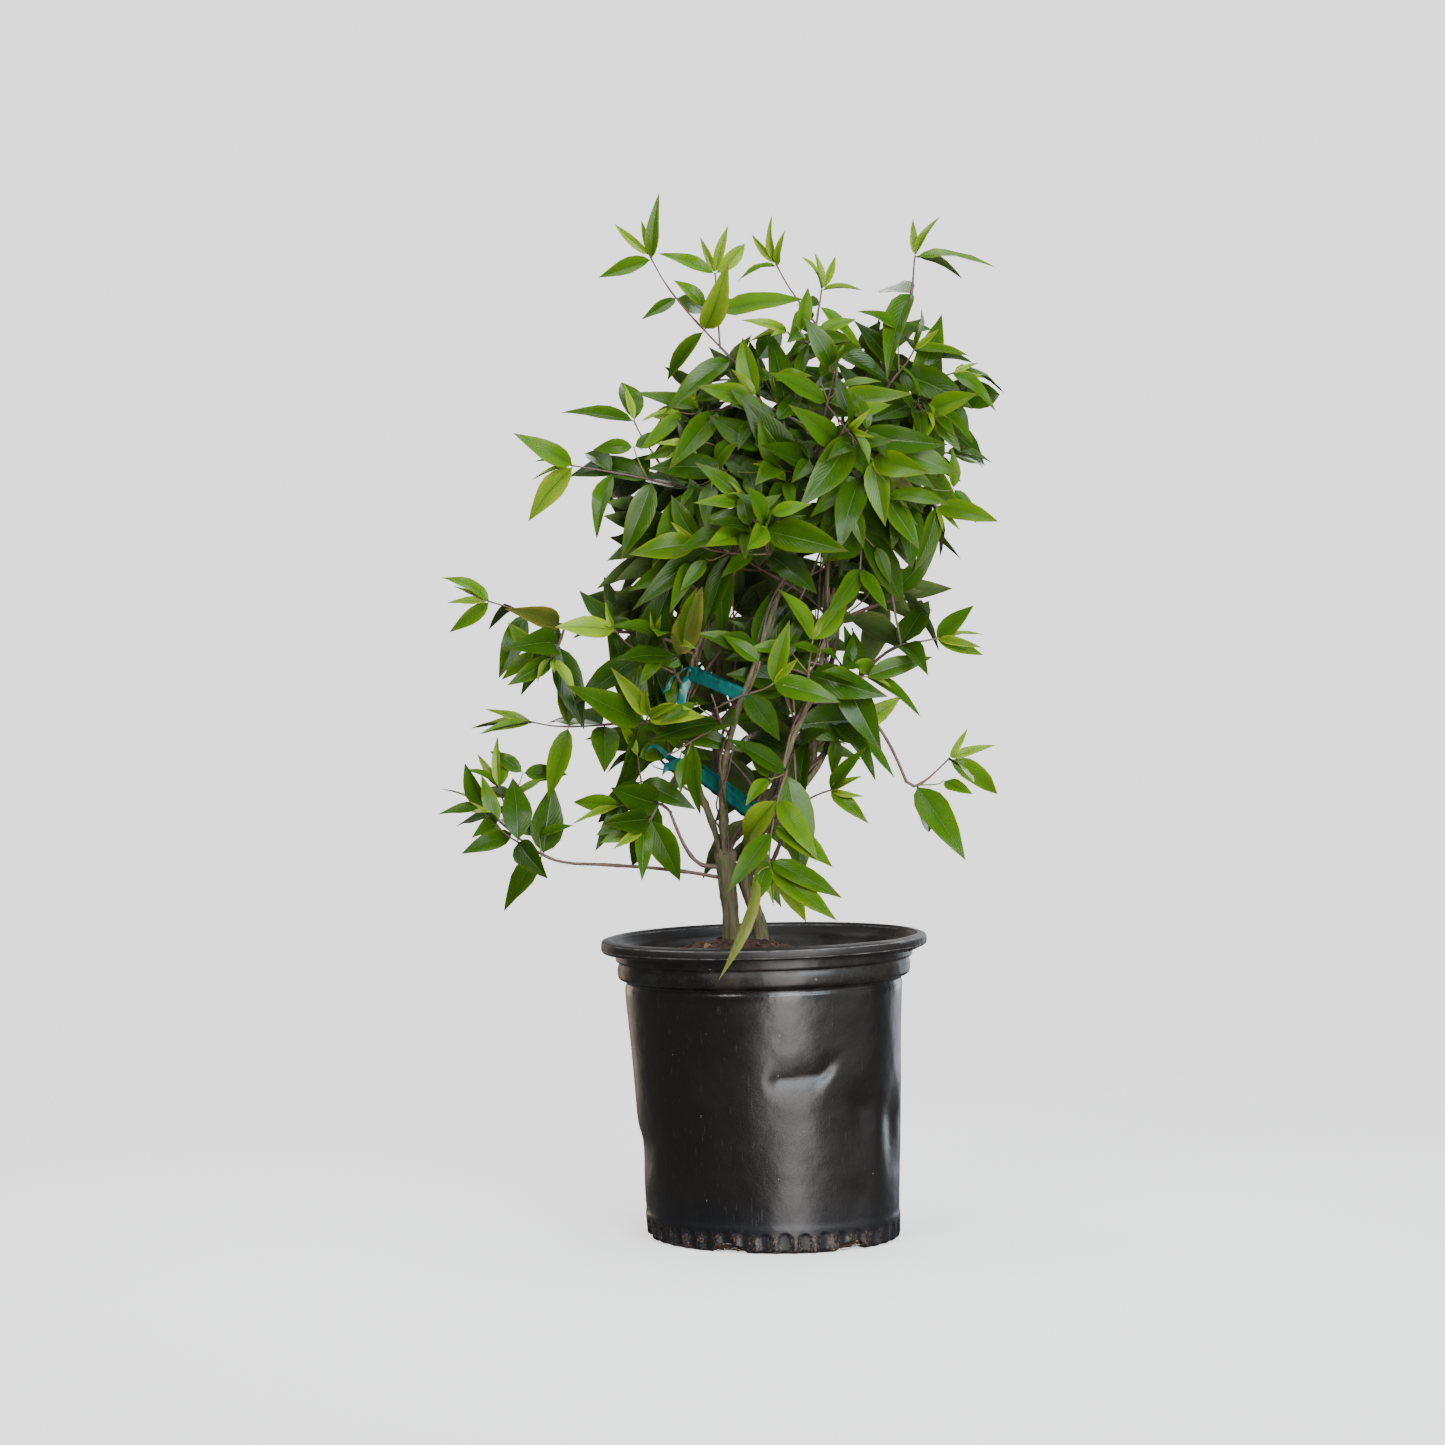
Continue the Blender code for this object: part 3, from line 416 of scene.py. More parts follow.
class Look:
    """One material, built up from nodes."""

    def __init__(self, name, roughness, **numbers):
        self.material = bpy.data.materials.new(name)
        self.material.use_nodes = True
        self.tree = self.material.node_tree
        self.shader = self.tree.nodes["Principled BSDF"]
        self.set(Roughness=roughness, **numbers)

    def node(self, kind, settings, inputs, out=0):
        made = self.tree.nodes.new("ShaderNode" + kind)
        for name, setting in settings.items():
            setattr(made, name, setting)
        for name, value in inputs.items():
            self.feed(made.inputs[name], value)
        return Value(self, made.outputs[out])

    def feed(self, socket, value):
        if isinstance(value, Value):
            self.tree.links.new(value.socket, socket)
        else:
            socket.default_value = value

    def set(self, **values):
        for name, value in values.items():
            self.feed(self.shader.inputs[name.replace("_", " ")], value)
        return self.material

    def math(self, operation, first, second=0):
        return self.node("Math", {"operation": operation}, {0: first, 1: second})

    def mix(self, share, first, second):
        inputs = {0: share, 6: rgba(first), 7: rgba(second)}
        return self.node("Mix", {"data_type": "RGBA"}, inputs, 2)

    def axes(self, vector, count):
        return [self.node("SeparateXYZ", {}, {0: vector}, axis) for axis in range(count)]

    def length(self, vector):
        return self.node("VectorMath", {"operation": "LENGTH"}, {0: vector}, "Value")

    def place(self):
        return self.node("TexCoord", {}, {}, "Object")

    def stretched(self, upright):
        return self.node("Mapping", {}, {"Vector": self.place(), "Scale": (1, 1, upright)})

    def noise(self, scale, detail=3, roughness=0.5, where=None):
        inputs = {"Vector": where or self.place(), "Scale": scale, "Detail": detail, "Roughness": roughness}
        return self.node("TexNoise", {}, inputs)

    def step(self, value, low, high):
        """0 to 1 while the value goes from low to high."""
        return self.node("MapRange", {"clamp": True}, {"Value": value, "From Min": low, "From Max": high})

    def patches(self, low, high, *noise, where=None):
        """0 to 1 while a noise goes from low to high."""
        return self.step(self.noise(*noise, where=where), low, high)

    def bump(self, height, distance, strength=1.0):
        return self.node("Bump", {}, {"Height": height, "Distance": distance, "Strength": strength})


def rgba(colour):
    return colour if isinstance(colour, Value) else (*colour, 1)


def leaf_finish(name, tint, roughness, veins):
    look = Look(name, roughness, Specular_IOR_Level=0.18)
    red, green, blue = tint
    mottle = look.noise(55)
    shade = look.node("Attribute", {"attribute_name": "shade"}, {}, "Fac")
    light = look.step(shade * 0.55 + mottle * 0.35 + 0.52, 0.6, 1.4)
    colour = look.mix(light, [c * 0.62 for c in tint], [c * 1.45 + 0.004 for c in tint])
    colour = look.mix(look.patches(0.68, 0.76, 230, 2) * 0.35, colour, (red * 1.9, green * 1.3, blue))
    across, share = look.axes(look.node("UVMap", {}, {}), 2)
    off = abs(across - 0.5)
    vein = look.math("SINE", share * 85 - off * 60) * 0.5 + 0.5
    margin = look.step(off + mottle * 0.16, 0.36, 0.58)
    colour = look.mix(margin * 0.55, colour, (red * 2.3, green * 1.5, blue * 1.5))
    middle = look.step(off, 0.2, 0.02) * look.step(share, 0.95, 0.45)
    colour = look.mix(middle * 0.4 + vein * 0.1, colour, [c * 0.55 for c in tint])
    tip = look.step(share + mottle * 0.2, 0.92, 1.12)
    colour = look.mix(tip * 0.6, colour, (green * 0.75, green * 0.6, blue + 0.006))
    normal = look.bump(vein * veins + look.noise(900, 2) * 0.3, 0.00012)
    uneven = look.patches(0.3, 0.7, 120) * 0.14 + (roughness - 0.07)
    return look.set(Base_Color=colour, Roughness=uneven, Normal=normal)


def rib_finish():
    look = Look("leaf_rib", 0.45)
    return look.set(Base_Color=look.mix(look.noise(80), RIB, (0.032, 0.08, 0.005)))


def shoot_finish():
    look = Look("green_shoot", 0.5)
    colour = look.mix(look.patches(0.4, 0.6, 45), (0.15, 0.2, 0.045), (0.14, 0.075, 0.035))
    return look.set(Base_Color=colour)


def wiry_finish():
    look = Look("thin_brown_stem", 0.65)
    colour = look.mix(look.noise(130), (0.06, 0.035, 0.026), (0.19, 0.125, 0.09))
    grain = look.noise(1500, where=look.stretched(0.2))
    return look.set(Base_Color=colour, Normal=look.bump(grain, 0.0002))


def bark_finish():
    look = Look("stem_bark", 0.82)
    fibre = look.noise(420, 5, 0.6, look.stretched(0.09))
    colour = look.mix(look.step(fibre, 0.36, 0.62), (0.04, 0.032, 0.018), (0.2, 0.165, 0.088))
    colour = look.mix(look.patches(0.36, 0.58, 70, 4) * 0.65, colour, (0.092, 0.104, 0.036))
    rust = look.patches(0.58, 0.72, 160, where=look.stretched(0.3))
    colour = look.mix(rust * 0.4, colour, (0.17, 0.07, 0.036))
    return look.set(Base_Color=colour, Normal=look.bump(fibre, 0.0008, 0.9))


def pot_finish():
    look = Look("black_nursery_plastic", 0.4, Specular_IOR_Level=0.55)
    where = look.node("VectorMath", {"operation": "SUBTRACT"}, {0: look.place(), 1: (LEAN, 0, 0)})
    x, y, height = look.axes(where, 3)
    level = height - x * RIM_TILT
    away = look.length(look.node("CombineXYZ", {}, {0: x, 1: y}))

    def patches(low, high, *noise):
        return look.patches(low, high, *noise, where=where)

    def band(middle, wide, narrow):
        return look.step(abs(level - middle), wide, narrow)

    collar = look.step(level, 0.214, 0.222) - look.step(level, 0.237, 0.241) * 0.8
    across = look.math("FRACT", look.math("ARCTAN2", y, x) * (FLUTES / (2 * pi))) - 0.5
    flute = look.step(abs(across), 0.4, 0.28) * look.step(height, FLUTE_HEIGHT, 0.012)
    grit = patches(0.52, 0.66, 620, 3, 0.6)
    ledges = band(0.2302, 0.0022, 0.0008) * 0.5 + band(0.2152, 0.002, 0.0008) * 0.6
    dust = patches(0.48, 0.76, 42, 5, 0.65) * (collar * 0.3 + flute * 0.5 + ledges + 0.05)
    dust = dust + grit * (flute * 0.65 + collar * 0.26 + 0.015)
    # Painted reflection: the wall's dark colour is warm above and turns bluish towards the foot, standing in
    # for the tints of the lights that the plastic reflects
    painted_blue_foot_reflection = look.step(height, 0.045, 0.012)
    colour = look.mix(painted_blue_foot_reflection, (0.0045, 0.0035, 0.0032), (0.0036, 0.0046, 0.0078))
    colour = look.mix(dust * 0.6, colour, (0.085, 0.062, 0.044))
    colour = look.mix(grit * flute * 0.45, colour, (0.23, 0.16, 0.1))
    # Pale lines along the lip's top and lower outer corners: painted highlights, with wear breaking them up
    # in patches
    edges = band(0.2476, 0.0006, 0.0002) + band(0.2418, 0.0005, 0.0002) * look.step(away, 0.133, 0.1338)
    worn = edges * patches(0.36, 0.7, 70, 4, 0.7)
    scratch = look.patches(0.66, 0.74, 800, 2, where=look.stretched(0.06))
    speck = patches(0.8, 0.83, 300, 1)
    # Pale scratches and specks, and the painted highlights on the lip's corners
    colour = look.mix(scratch * 0.05 + speck * 0.5 + worn * 0.55, colour, (0.36, 0.34, 0.33))
    rough = look.noise(14, 4, where=where) * 0.36 + dust * 0.45 + scratch * 0.08 + worn * 0.1 + 0.19
    rough = rough + look.step(height, 0.03, 0.004) * 0.04 + look.step(level, 0.2404, 0.2424) * 0.16
    rough = rough - band(0.2105, 0.008, 0.0035) * 0.1
    ripple = look.noise(58, where=where) * 0.3 + look.noise(320, 2, where=where) * 0.04
    normal = look.bump(look.noise(22, 2, where=where) + ripple, 0.0022, 0.85)
    return look.set(Base_Color=colour, Roughness=rough, Normal=normal)


def soil_finish(name, low, high):
    look = Look(name, 0.95)
    colour = look.mix(look.patches(0.35, 0.65, 190, 6, 0.7), low, high)
    return look.set(Base_Color=colour, Normal=look.bump(look.noise(900, 4, 0.7), 0.0012))


def tape_finish():
    look = Look("teal_tape", 0.32)
    crease = look.noise(260, where=look.stretched(0.5))
    colour = look.mix(look.step(crease, 0.3, 0.7), (0, 0.095, 0.085), (0.004, 0.215, 0.185))
    return look.set(Base_Color=colour, Normal=look.bump(crease, 0.0006, 0.6))


# The rule of growth, as in the solids


def smoothstep(value):
    value = min(1.0, max(0.0, value))
    return value * value * (3 - 2 * value)


def cubic_at(start, pull, reach, tip, t):
    s = 1 - t
    return start * s**3 + pull * 3 * s * s * t + reach * 3 * s * t * t + tip * t**3


def cubic(start, pull, reach, tip, count):
    return [cubic_at(start, pull, reach, tip, i / (count - 1)) for i in range(count)]


def tapered(path, thick, thin):
    return Limb(path, [thick + (thin - thick) * i / (len(path) - 1) for i in range(len(path))])


def along(limb, share):
    place = share * (len(limb.path) - 1)
    i = min(int(place), len(limb.path) - 2)
    part = place - i
    point = limb.path[i].lerp(limb.path[i + 1], part)
    radius = limb.radii[i] + (limb.radii[i + 1] - limb.radii[i]) * part
    return point, (limb.path[i + 1] - limb.path[i]).normalized(), radius


def trunk(foot, fork, radius):
    foot = Vector((*foot, SOIL_TOP_Z + CLEAR))
    fork = Vector(fork)
    path = [foot] + cubic(foot + UP * 0.006, foot + UP * 0.024, fork - UP * 0.02, fork, 6)
    shares = [i / 6 for i in range(7)]
    return Limb(path, [radius * (1 + FLARE * (1 - t) ** 5 + BURL * t**4) for t in shares])


def polar(bearing, radius):
    return Vector((cos(radians(bearing)), sin(radians(bearing)), 0)) * radius


def leader(row, trunks):
    base = trunks[row.trunk]
    foot = base.path[-1] + polar(row.seat, base.radii[-1] * 0.52) + UP * CLEAR * 3
    crest = AXIS_LOW.lerp(AXIS_HIGH, row.top)
    path = [foot, foot + UP * 0.004]
    for i in range(1, LEADER_POINTS):
        rise = i / (LEADER_POINTS - 1)
        share = rise * row.top
        bearing = row.bearing + WIND * share
        spread = 0.01 + BULGE * sin(pi * share**0.7) + FAN * smoothstep((share - 0.7) / 0.3)
        spread += WOBBLE * sin(16 * share + row.bearing)
        place = AXIS_LOW.lerp(AXIS_HIGH, share) + polar(bearing, spread)
        if row.twin:
            place += polar(360 * TWIN_TURNS * share + TWIN_START + 90 * row.twin, TWIN_RADIUS)
        point = foot.lerp(place, smoothstep(share / SETTLE))
        point.z = foot.z + (crest.z - foot.z) * rise
        path.append(point)
    return tapered(path, LEADER_RADIUS, LEADER_TIP_RADIUS)


def arched(start, way, tip, lift, count):
    span = (tip - start).length
    return cubic(start, start + way * span * 0.33, start.lerp(tip, 0.67) + UP * lift * span, tip, count)


def branch(parent, share, tip, lift, lean, count, thick, thin):
    point, direction, thickness = along(parent, share)
    if share == 1:
        out, way, thickness = direction, direction, 0.0
    else:
        out = tip - point
        out = (out - direction * out.dot(direction)).normalized()
        way = (out + direction * lean).normalized()
    seat = point + out * (thickness + CLEAR)
    path = arched(seat, way, tip, lift, count)
    slope = (path[1] - path[0]).normalized().dot(out)
    seat += out * thick * sqrt(max(0.0, 1 - slope * slope))
    return tapered(arched(seat, way, tip, lift, count), thick, thin)


def leaf_frame(base, way, normal, length, width):
    side = way.cross(normal).normalized()
    face = side.cross(way).normalized()
    turn = Matrix((side, way, face)).transposed().to_4x4()
    return Matrix.Translation(base) @ turn @ Matrix.Diagonal((width, length, length, 1))


def draw(mass, *place):
    seed = mass.seed
    for number in place:
        seed = seed * 131 + number + 7
    return Random(seed)


def jitter(rng, amount):
    return Vector((rng.uniform(-1, 1), rng.uniform(-1, 1), rng.uniform(-1, 1))) * amount


def mass_stem(mass, limbs):
    parent = limbs[mass.limb]
    tip = Vector(mass.tip)
    count = 4 + round((tip - along(parent, mass.at)[0]).length / 0.035)
    return branch(parent, mass.at, tip, mass.lift, 0.5, count, TWIG_RADIUS, TWIG_TIP_RADIUS)


def facing(mass, rng):
    return (Vector(mass.face).normalized() + jitter(rng, 0.45)).normalized()


def shoot_path(point, way, length, lift, sag):
    tip = point + way * length + UP * length * lift
    return cubic(point, point + way * length * 0.4, tip - UP * length * sag, tip, 4)


def side_twig(mass, stem, index, attempt):
    rng = draw(mass, 1, index, attempt)
    share = 0.22 + 0.56 * (index + rng.uniform(0, 0.5)) / max(1, mass.twigs)
    point, direction, radius = along(stem, share)
    side = direction.cross(facing(mass, rng)).normalized() * (1 if index % 2 else -1)
    way = (side + direction * rng.uniform(0.3, 0.9) + jitter(rng, 0.45)).normalized()
    length = mass.twig * rng.uniform(0.8, 1.25)
    path = shoot_path(point, way, length, rng.uniform(-0.25, 0.35), 0.1)
    return tapered(path, min(radius, TWIG_RADIUS * 0.85), TWIG_TIP_RADIUS)


def leaf_at(mass, twig, twig_index, node, share, side, attempt):
    rng = draw(mass, 2, twig_index, node, side + 1, attempt)
    point, direction, radius = along(twig, share)
    face = facing(mass, rng)
    across = direction.cross(face)
    if across.length < 0.2:
        across = direction.cross(UP + jitter(rng, 0.2))
    across = across.normalized() * side
    across.rotate(Matrix.Rotation(radians(35) * (1 if node % 2 else -1), 3, direction))
    splay = rng.uniform(0.25, 0.75) + (0.9 if share > 0.95 else 0)
    way = across + direction * splay - UP * mass.droop * rng.uniform(0.5, 1.3) + jitter(rng, 0.22)
    way.normalize()
    age = 1.0 - 0.3 * max(0.0, share - 0.55) / 0.45
    length = LEAF_LENGTH * mass.leaf * age * rng.uniform(0.84, 1.16)
    width = length * LEAF_WIDTH * rng.uniform(0.85, 1.15) * (1.12 if share < 0.35 else 1.0)
    base = point - way * radius * LEAF_SINK
    return leaf_frame(base, way, face, length, width), rng.randrange(len(ARCHES))


def stations(limb, first):
    length = sum((b - a).length for a, b in pairwise(limb.path))
    count = max(2, round(length * (1 - first) / NODE_SPACING) + 1)
    return [first + (0.97 - first) * i / (count - 1) for i in range(count)]


def in_space(mass, stem, point):
    reach = mass.twig + LEAF_LENGTH * mass.leaf * 1.15
    return min((point - place).length for place in stem.path) <= reach


# Which of the rule's tries stand in the solids


def corners_of(node):
    """The corners of one solid, to be searched by place."""
    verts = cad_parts[node].data.vertices
    tree = KDTree(len(verts))
    for i, vert in enumerate(verts):
        tree.insert(vert.co, i)
    tree.balance()
    return tree


def misfit(limb, corners):
    """How far the limb's rings lie from the solid's corners, on average."""
    off = [abs(corners.find(point)[2] - radius) for point, radius in zip(*limb)]
    return sum(off) / len(off)


def ring_masses(tier, limbs):
    """The masses of one ring of the crown, each from the seat that its solid has."""
    for number, seed in enumerate(tier.seeds):
        name = f"crown_{tier.name}{number}"
        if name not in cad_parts:
            continue
        rng = Random(f"{tier.name}{number}")
        bearing = tier.bearing + 360 * number / len(tier.seeds) + rng.uniform(-12, 12)
        out = polar(bearing, tier.half - HOLD)
        tip = Vector((tier.middle + out.x, out.y * CROWN_DEPTH, tier.z + rng.uniform(-0.02, 0.02)))
        face = polar(bearing, 0.5) + Vector((0, 0.7 if out.y > 0.02 else -0.7, 0.6))
        corners = corners_of(name)
        tried = [
            Mass(limb, step / 30, tip, lift, 2, 0.05, 1.08, 0.25, face, seed)
            for limb, step, lift in product(LEADERS, range(5, 31), RING_LIFTS)
        ]
        yield name, min(tried, key=lambda mass: misfit(mass_stem(mass, limbs), corners))


def regrow(name, mass, limbs):
    """The twigs and leaves that the solid of this mass holds."""
    corners = corners_of(name)
    stem = mass_stem(mass, limbs)
    twigs = {-1: stem}
    for index in range(mass.twigs):
        tried = [side_twig(mass, stem, index, attempt) for attempt in range(TRIES)]
        best = min(tried, key=lambda twig: misfit(twig, corners))
        if misfit(best, corners) < TWIG_FITS:
            twigs[index] = best
    leaves = []
    for twig_index, twig in enumerate(twigs.values()):
        for node, share in enumerate(stations(twig, BARE_STEM if twig is stem else BARE_TWIG)):
            for side in SIDES:
                for attempt in range(TRIES):
                    place, form = leaf_at(mass, twig, twig_index, node, share, side, attempt)
                    tip = place @ Vector((0, 1, -ARCHES[form]))
                    if corners.find(tip)[2] < LEAF_FITS:
                        leaves.append((place, form, share))
                        break
    return list(twigs.values()), leaves


# Shapes in bmesh


def mesh_of(bm, name):
    mesh = bpy.data.meshes.new(name)
    bm.to_mesh(mesh)
    bm.free()
    return mesh


def placed(name, data):
    obj = bpy.data.objects.new(name, data)
    bpy.context.scene.collection.objects.link(obj)
    return obj


class Heap:
    """Small shapes that are joined into one piece."""

    def __init__(self, name, slot, *finishes):
        self.name = name
        self.slot = slot
        self.finishes = finishes
        self.bm = bmesh.new()
        self.nodes = []

    def add(self, mesh, place, shade):
        copy = mesh.copy()
        copy.transform(place)
        shades = copy.attributes.new("shade", "FLOAT", "FACE")
        shades.data.foreach_set("value", [shade] * len(copy.polygons))
        self.join(copy)

    def take(self, shape):
        self.join(mesh_of(shape, "shape"))

    def join(self, mesh):
        self.bm.from_mesh(mesh, face_normals=False, vertex_normals=False)
        bpy.data.meshes.remove(mesh)

    def finish(self):
        self.bm.normal_update()
        finished(self.bm, self.name, self.slot, *self.finishes, replaces=self.nodes)


def finished(bm, name, slot, *finishes, replaces=()):
    """The shape as a piece at the origin, which rides on the plant's one body."""
    mesh = mesh_of(bm, name)
    for finish in finishes:
        mesh.materials.append(finish)
    obj = placed(name, mesh)
    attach(obj, "root")
    if replaces:
        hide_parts(*replaces)
    return obj


def smooth(bm):
    for face in bm.faces:
        face.smooth = True
    return bm


def rounded(limb, step):
    """The limb on a smooth curve through its points, with points this far apart."""
    path, radii = [], []
    last = len(limb.path) - 1
    for i, (here, there) in enumerate(pairwise(limb.path)):
        pull = (there - limb.path[max(i - 1, 0)]) / 6
        reach = (limb.path[min(i + 2, last)] - here) / 6
        count = max(1, round((there - here).length / step))
        for k in range(count):
            t = k / count
            path.append(cubic_at(here, here + pull, there - reach, there, t))
            radii.append(limb.radii[i] + (limb.radii[i + 1] - limb.radii[i]) * t)
    return Limb(path + [limb.path[-1]], radii + [limb.radii[-1]])


def carried(path):
    """Two directions square to the path at each point, turned along it without a twist."""
    frames = []
    side = None
    for i, point in enumerate(path):
        ahead = (path[min(i + 1, len(path) - 1)] - path[max(i - 1, 0)]).normalized()
        side = ahead.orthogonal() if side is None else side - ahead * side.dot(ahead)
        side.normalize()
        frames.append((side.copy(), ahead.cross(side)))
    return frames


def tube(limb, sides, relief=None):
    """A closed tube along the limb. relief(turn, length, radius) lifts its skin."""
    bm = bmesh.new()
    rows = len(limb.path) - 1
    bmesh.ops.create_cone(bm, cap_ends=True, segments=sides, radius1=1, radius2=1, depth=rows)
    upright = [e for e in bm.edges if abs(e.verts[0].co.z - e.verts[1].co.z) > 0.5]
    if rows > 1:
        bmesh.ops.subdivide_edges(bm, edges=upright, cuts=rows - 1)
    frames = carried(limb.path)
    lengths = [0.0]
    for here, there in pairwise(limb.path):
        lengths.append(lengths[-1] + (there - here).length)
    for vert in bm.verts:
        row = round(vert.co.z + rows / 2)
        side, other = frames[row]
        reach = limb.radii[row]
        if relief:
            reach += relief(atan2(vert.co.y, vert.co.x), lengths[row], reach)
        vert.co = limb.path[row] + (side * vert.co.x + other * vert.co.y) * reach
    return smooth(bm)


def rooted(limb):
    """The limb from a little further back, so that its foot is inside what bears it."""
    back = (limb.path[0] - limb.path[1]).normalized() * 0.0018
    return Limb([limb.path[0] + back, *limb.path], [limb.radii[0], *limb.radii])


def jointed(limb, step, spots, swell):
    """A rounded limb with a small swelling at each of these shares of its length."""
    fine = rounded(limb, step)
    last = len(fine.path) - 1
    for i in range(last + 1):
        near = min((abs(i / last - spot) for spot in spots), default=1.0)
        fine.radii[i] *= 1 + swell * exp(-((near * last / 1.2) ** 2))
    return fine


# Leaves


def half_width(share):
    """Half the leaf's width at this share of its length, for a leaf one wide."""
    if share >= 1 or share <= 0:
        return 0.0
    s = max(0.0, (share - PETIOLE) / (1 - PETIOLE))
    return max(0.028, 0.5 * (s / 0.36) ** 0.66 * ((1 - s) / 0.64) ** 1.17)


def blade_point(share, across, arch, bend):
    """A point of the blade. across runs from -1 at one edge to 1 at the other."""
    half = half_width(share)
    wide = half / 0.5
    middle = sin(pi * share)
    level = bend.hump * middle - arch * share * share
    level += bend.fold * abs(across) * wide + 0.01 * wide * (1 - abs(2 * abs(across) - 1))
    level += bend.wave * sin(11 * share + bend.phase) * across * abs(across) * wide
    level += bend.twist * (share - 0.3) * across * wide
    return Vector((across * half + bend.sickle * middle, share, level))


def blade_side(bm, columns, sunk, arch, bend, slot_of):
    """One side of a blade: a grid with these columns, whose middle is sunk by this much."""
    made = bmesh.ops.create_grid(bm, x_segments=len(columns) - 1, y_segments=len(ROWS) - 1, size=1)
    uv = bm.loops.layers.uv.verify()
    faces = {face for vert in made["verts"] for face in vert.link_faces}

    def spot(vert):
        row = round((vert.co.y + 1) / 2 * (len(ROWS) - 1))
        column = round((vert.co.x + 1) / 2 * (len(columns) - 1))
        return ROWS[row], columns[column]

    for face in faces:
        column = int((face.calc_center_median().x + 1) / 2 * (len(columns) - 1))
        face.material_index = slot_of(column)
        for loop in face.loops:
            share, across = spot(loop.vert)
            loop[uv].uv = (across / 2 + 0.5, share)
    for vert in made["verts"]:
        share, across = spot(vert)
        vert.co = blade_point(share, across, arch, bend)
        if abs(across) < 0.2 and 0 < share < 1:
            vert.co.z -= sunk
    return list(faces)


def leaf_blade(arch, bend):
    """One leaf, one long and one wide: a thin closed blade with its rib and underside apart."""
    bm = bmesh.new()
    blade_side(bm, UPPER, 0.004, arch, bend, lambda column: int(column == 2))
    under = blade_side(bm, LOWER, 0.014, arch, bend, lambda column: 2)
    bmesh.ops.reverse_faces(bm, faces=under)
    bmesh.ops.remove_doubles(bm, verts=bm.verts, dist=1e-5)
    smooth(bm)
    for edge in bm.edges:
        edge.smooth = len({face.material_index == 2 for face in edge.link_faces}) == 1
    return mesh_of(bm, "leaf_blade")


def leaf_blades():
    """Several kinds of blade for each arch: folded, humped, waved and nearly flat."""
    blades = []
    for arch in ARCHES:
        rng = Random(round(arch * 100))
        kinds = [Bend(*shape, rng.uniform(0, 6), rng.uniform(-0.06, 0.06)) for shape in BENDS]
        blades.append([leaf_blade(arch, bend) for bend in kinds])
    return blades


# Foliage


class Room:
    """What stands already, so that finer growth keeps clear of it. It is kept by cells of space."""

    def __init__(self):
        self.cells = {}

    def reached(self, corners):
        spans = [[floor(corner[k] / CELL) for corner in corners] for k in range(3)]
        return product(*(range(min(span), max(span) + 1) for span in spans))

    def add(self, corners, faces):
        tree = BVHTree.FromPolygons(corners, faces)
        for cell in self.reached(corners):
            self.cells.setdefault(cell, []).append(tree)

    def has_room_for(self, corners, faces):
        tree = BVHTree.FromPolygons(corners, faces)
        near = {other for cell in self.reached(corners) for other in self.cells.get(cell, ())}
        return not any(tree.overlap(other) for other in near)


def standing_room(*kinds):
    """The room beside the solids, or beside those whose names start in one of these ways."""
    room = Room()
    for name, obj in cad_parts.items():
        if not kinds or name.startswith(kinds):
            mesh = obj.data
            room.add([v.co for v in mesh.vertices], [tuple(p.vertices) for p in mesh.polygons])
    return room


def sleeve(limb):
    """A square tube round the limb, as the room test sees it."""
    corners, faces = [], []
    for point, radius, (side, other) in zip(*limb, carried(limb.path)):
        corners += [point + way * (radius + 0.0004) for way in (side, other, -side, -other)]
    for ring in range(0, len(corners) - 4, 4):
        for k in range(4):
            faces.append((ring + k, ring + (k + 1) % 4, ring + (k + 1) % 4 + 4, ring + k + 4))
    return corners, faces


def well_inside(point):
    """Whether the point lies well within the crown's outline, and not where the sky shows through."""
    below, above = TIERS[-1], TIERS[0]
    if within(SKY, point) or not below.z - 0.03 < point.z < above.z + 0.03:
        return False
    for high, low in pairwise(TIERS):
        if low.z <= point.z <= high.z:
            below, above = low, high
    share = min(1.0, max(0.0, (point.z - below.z) / (above.z - below.z)))
    middle = below.middle + (above.middle - below.middle) * share
    reach = below.half + (above.half - below.half) * share - EDGE_LEFT_OPEN
    return hypot(point.x - middle, point.y / CROWN_DEPTH) < reach


def leaf_outline(place, arch, start):
    """A flat stand-in for a leaf, from this share of its length on."""
    corners = []
    for share in (start, 0.35, 0.7, 0.99):
        half = half_width(share)
        corners += [place @ Vector((side * half, share, -arch * share * share)) for side in (-1, 1)]
    return corners, [(0, 1, 3, 2), (2, 3, 5, 4), (4, 5, 7, 6)]


def within(rounds, point):
    """Whether the point lies in one of these round places, as seen from the front."""
    return any(hypot(point.x - x, point.z - z) < reach for x, z, reach in rounds)


def hides_tie(place):
    """Whether the middle of a leaf here would hide one of the places where a tie shows."""
    middle = place @ Vector((0, 0.5, 0))
    return middle.y < -0.01 and within(TIE_SHOWS, middle)


def leaf_scale(name):
    """How a leaf of the solids is scaled here."""
    for start, scale in (("crown_", CROWN_LEAF), ("spray_top", TOP_LEAF), (BROAD_LEAVED, LOW_LEAF)):
        if name.startswith(start):
            return Matrix.Diagonal(scale)
    return Matrix.Identity(4)


def inside_box(corners):
    low, high = cad_box
    return all(low[k] - 0.002 < corner[k] < high[k] + 0.002 for corner in corners for k in range(3))


def tint_for(spray, share, rng):
    """The tint that a leaf is dealt: its spray's own, younger towards the tip, and a few faded."""
    if rng.random() < 0.018:
        return "faded"
    age = 1 if spray.removeprefix("spray_") in LIGHT_SPRAYS else 0
    age += share > 0.62
    age += share > 0.9 and rng.random() < 0.5
    age += rng.random() < 0.18
    age -= rng.random() < 0.15
    return AGES[min(max(age, 0), len(AGES) - 1)]


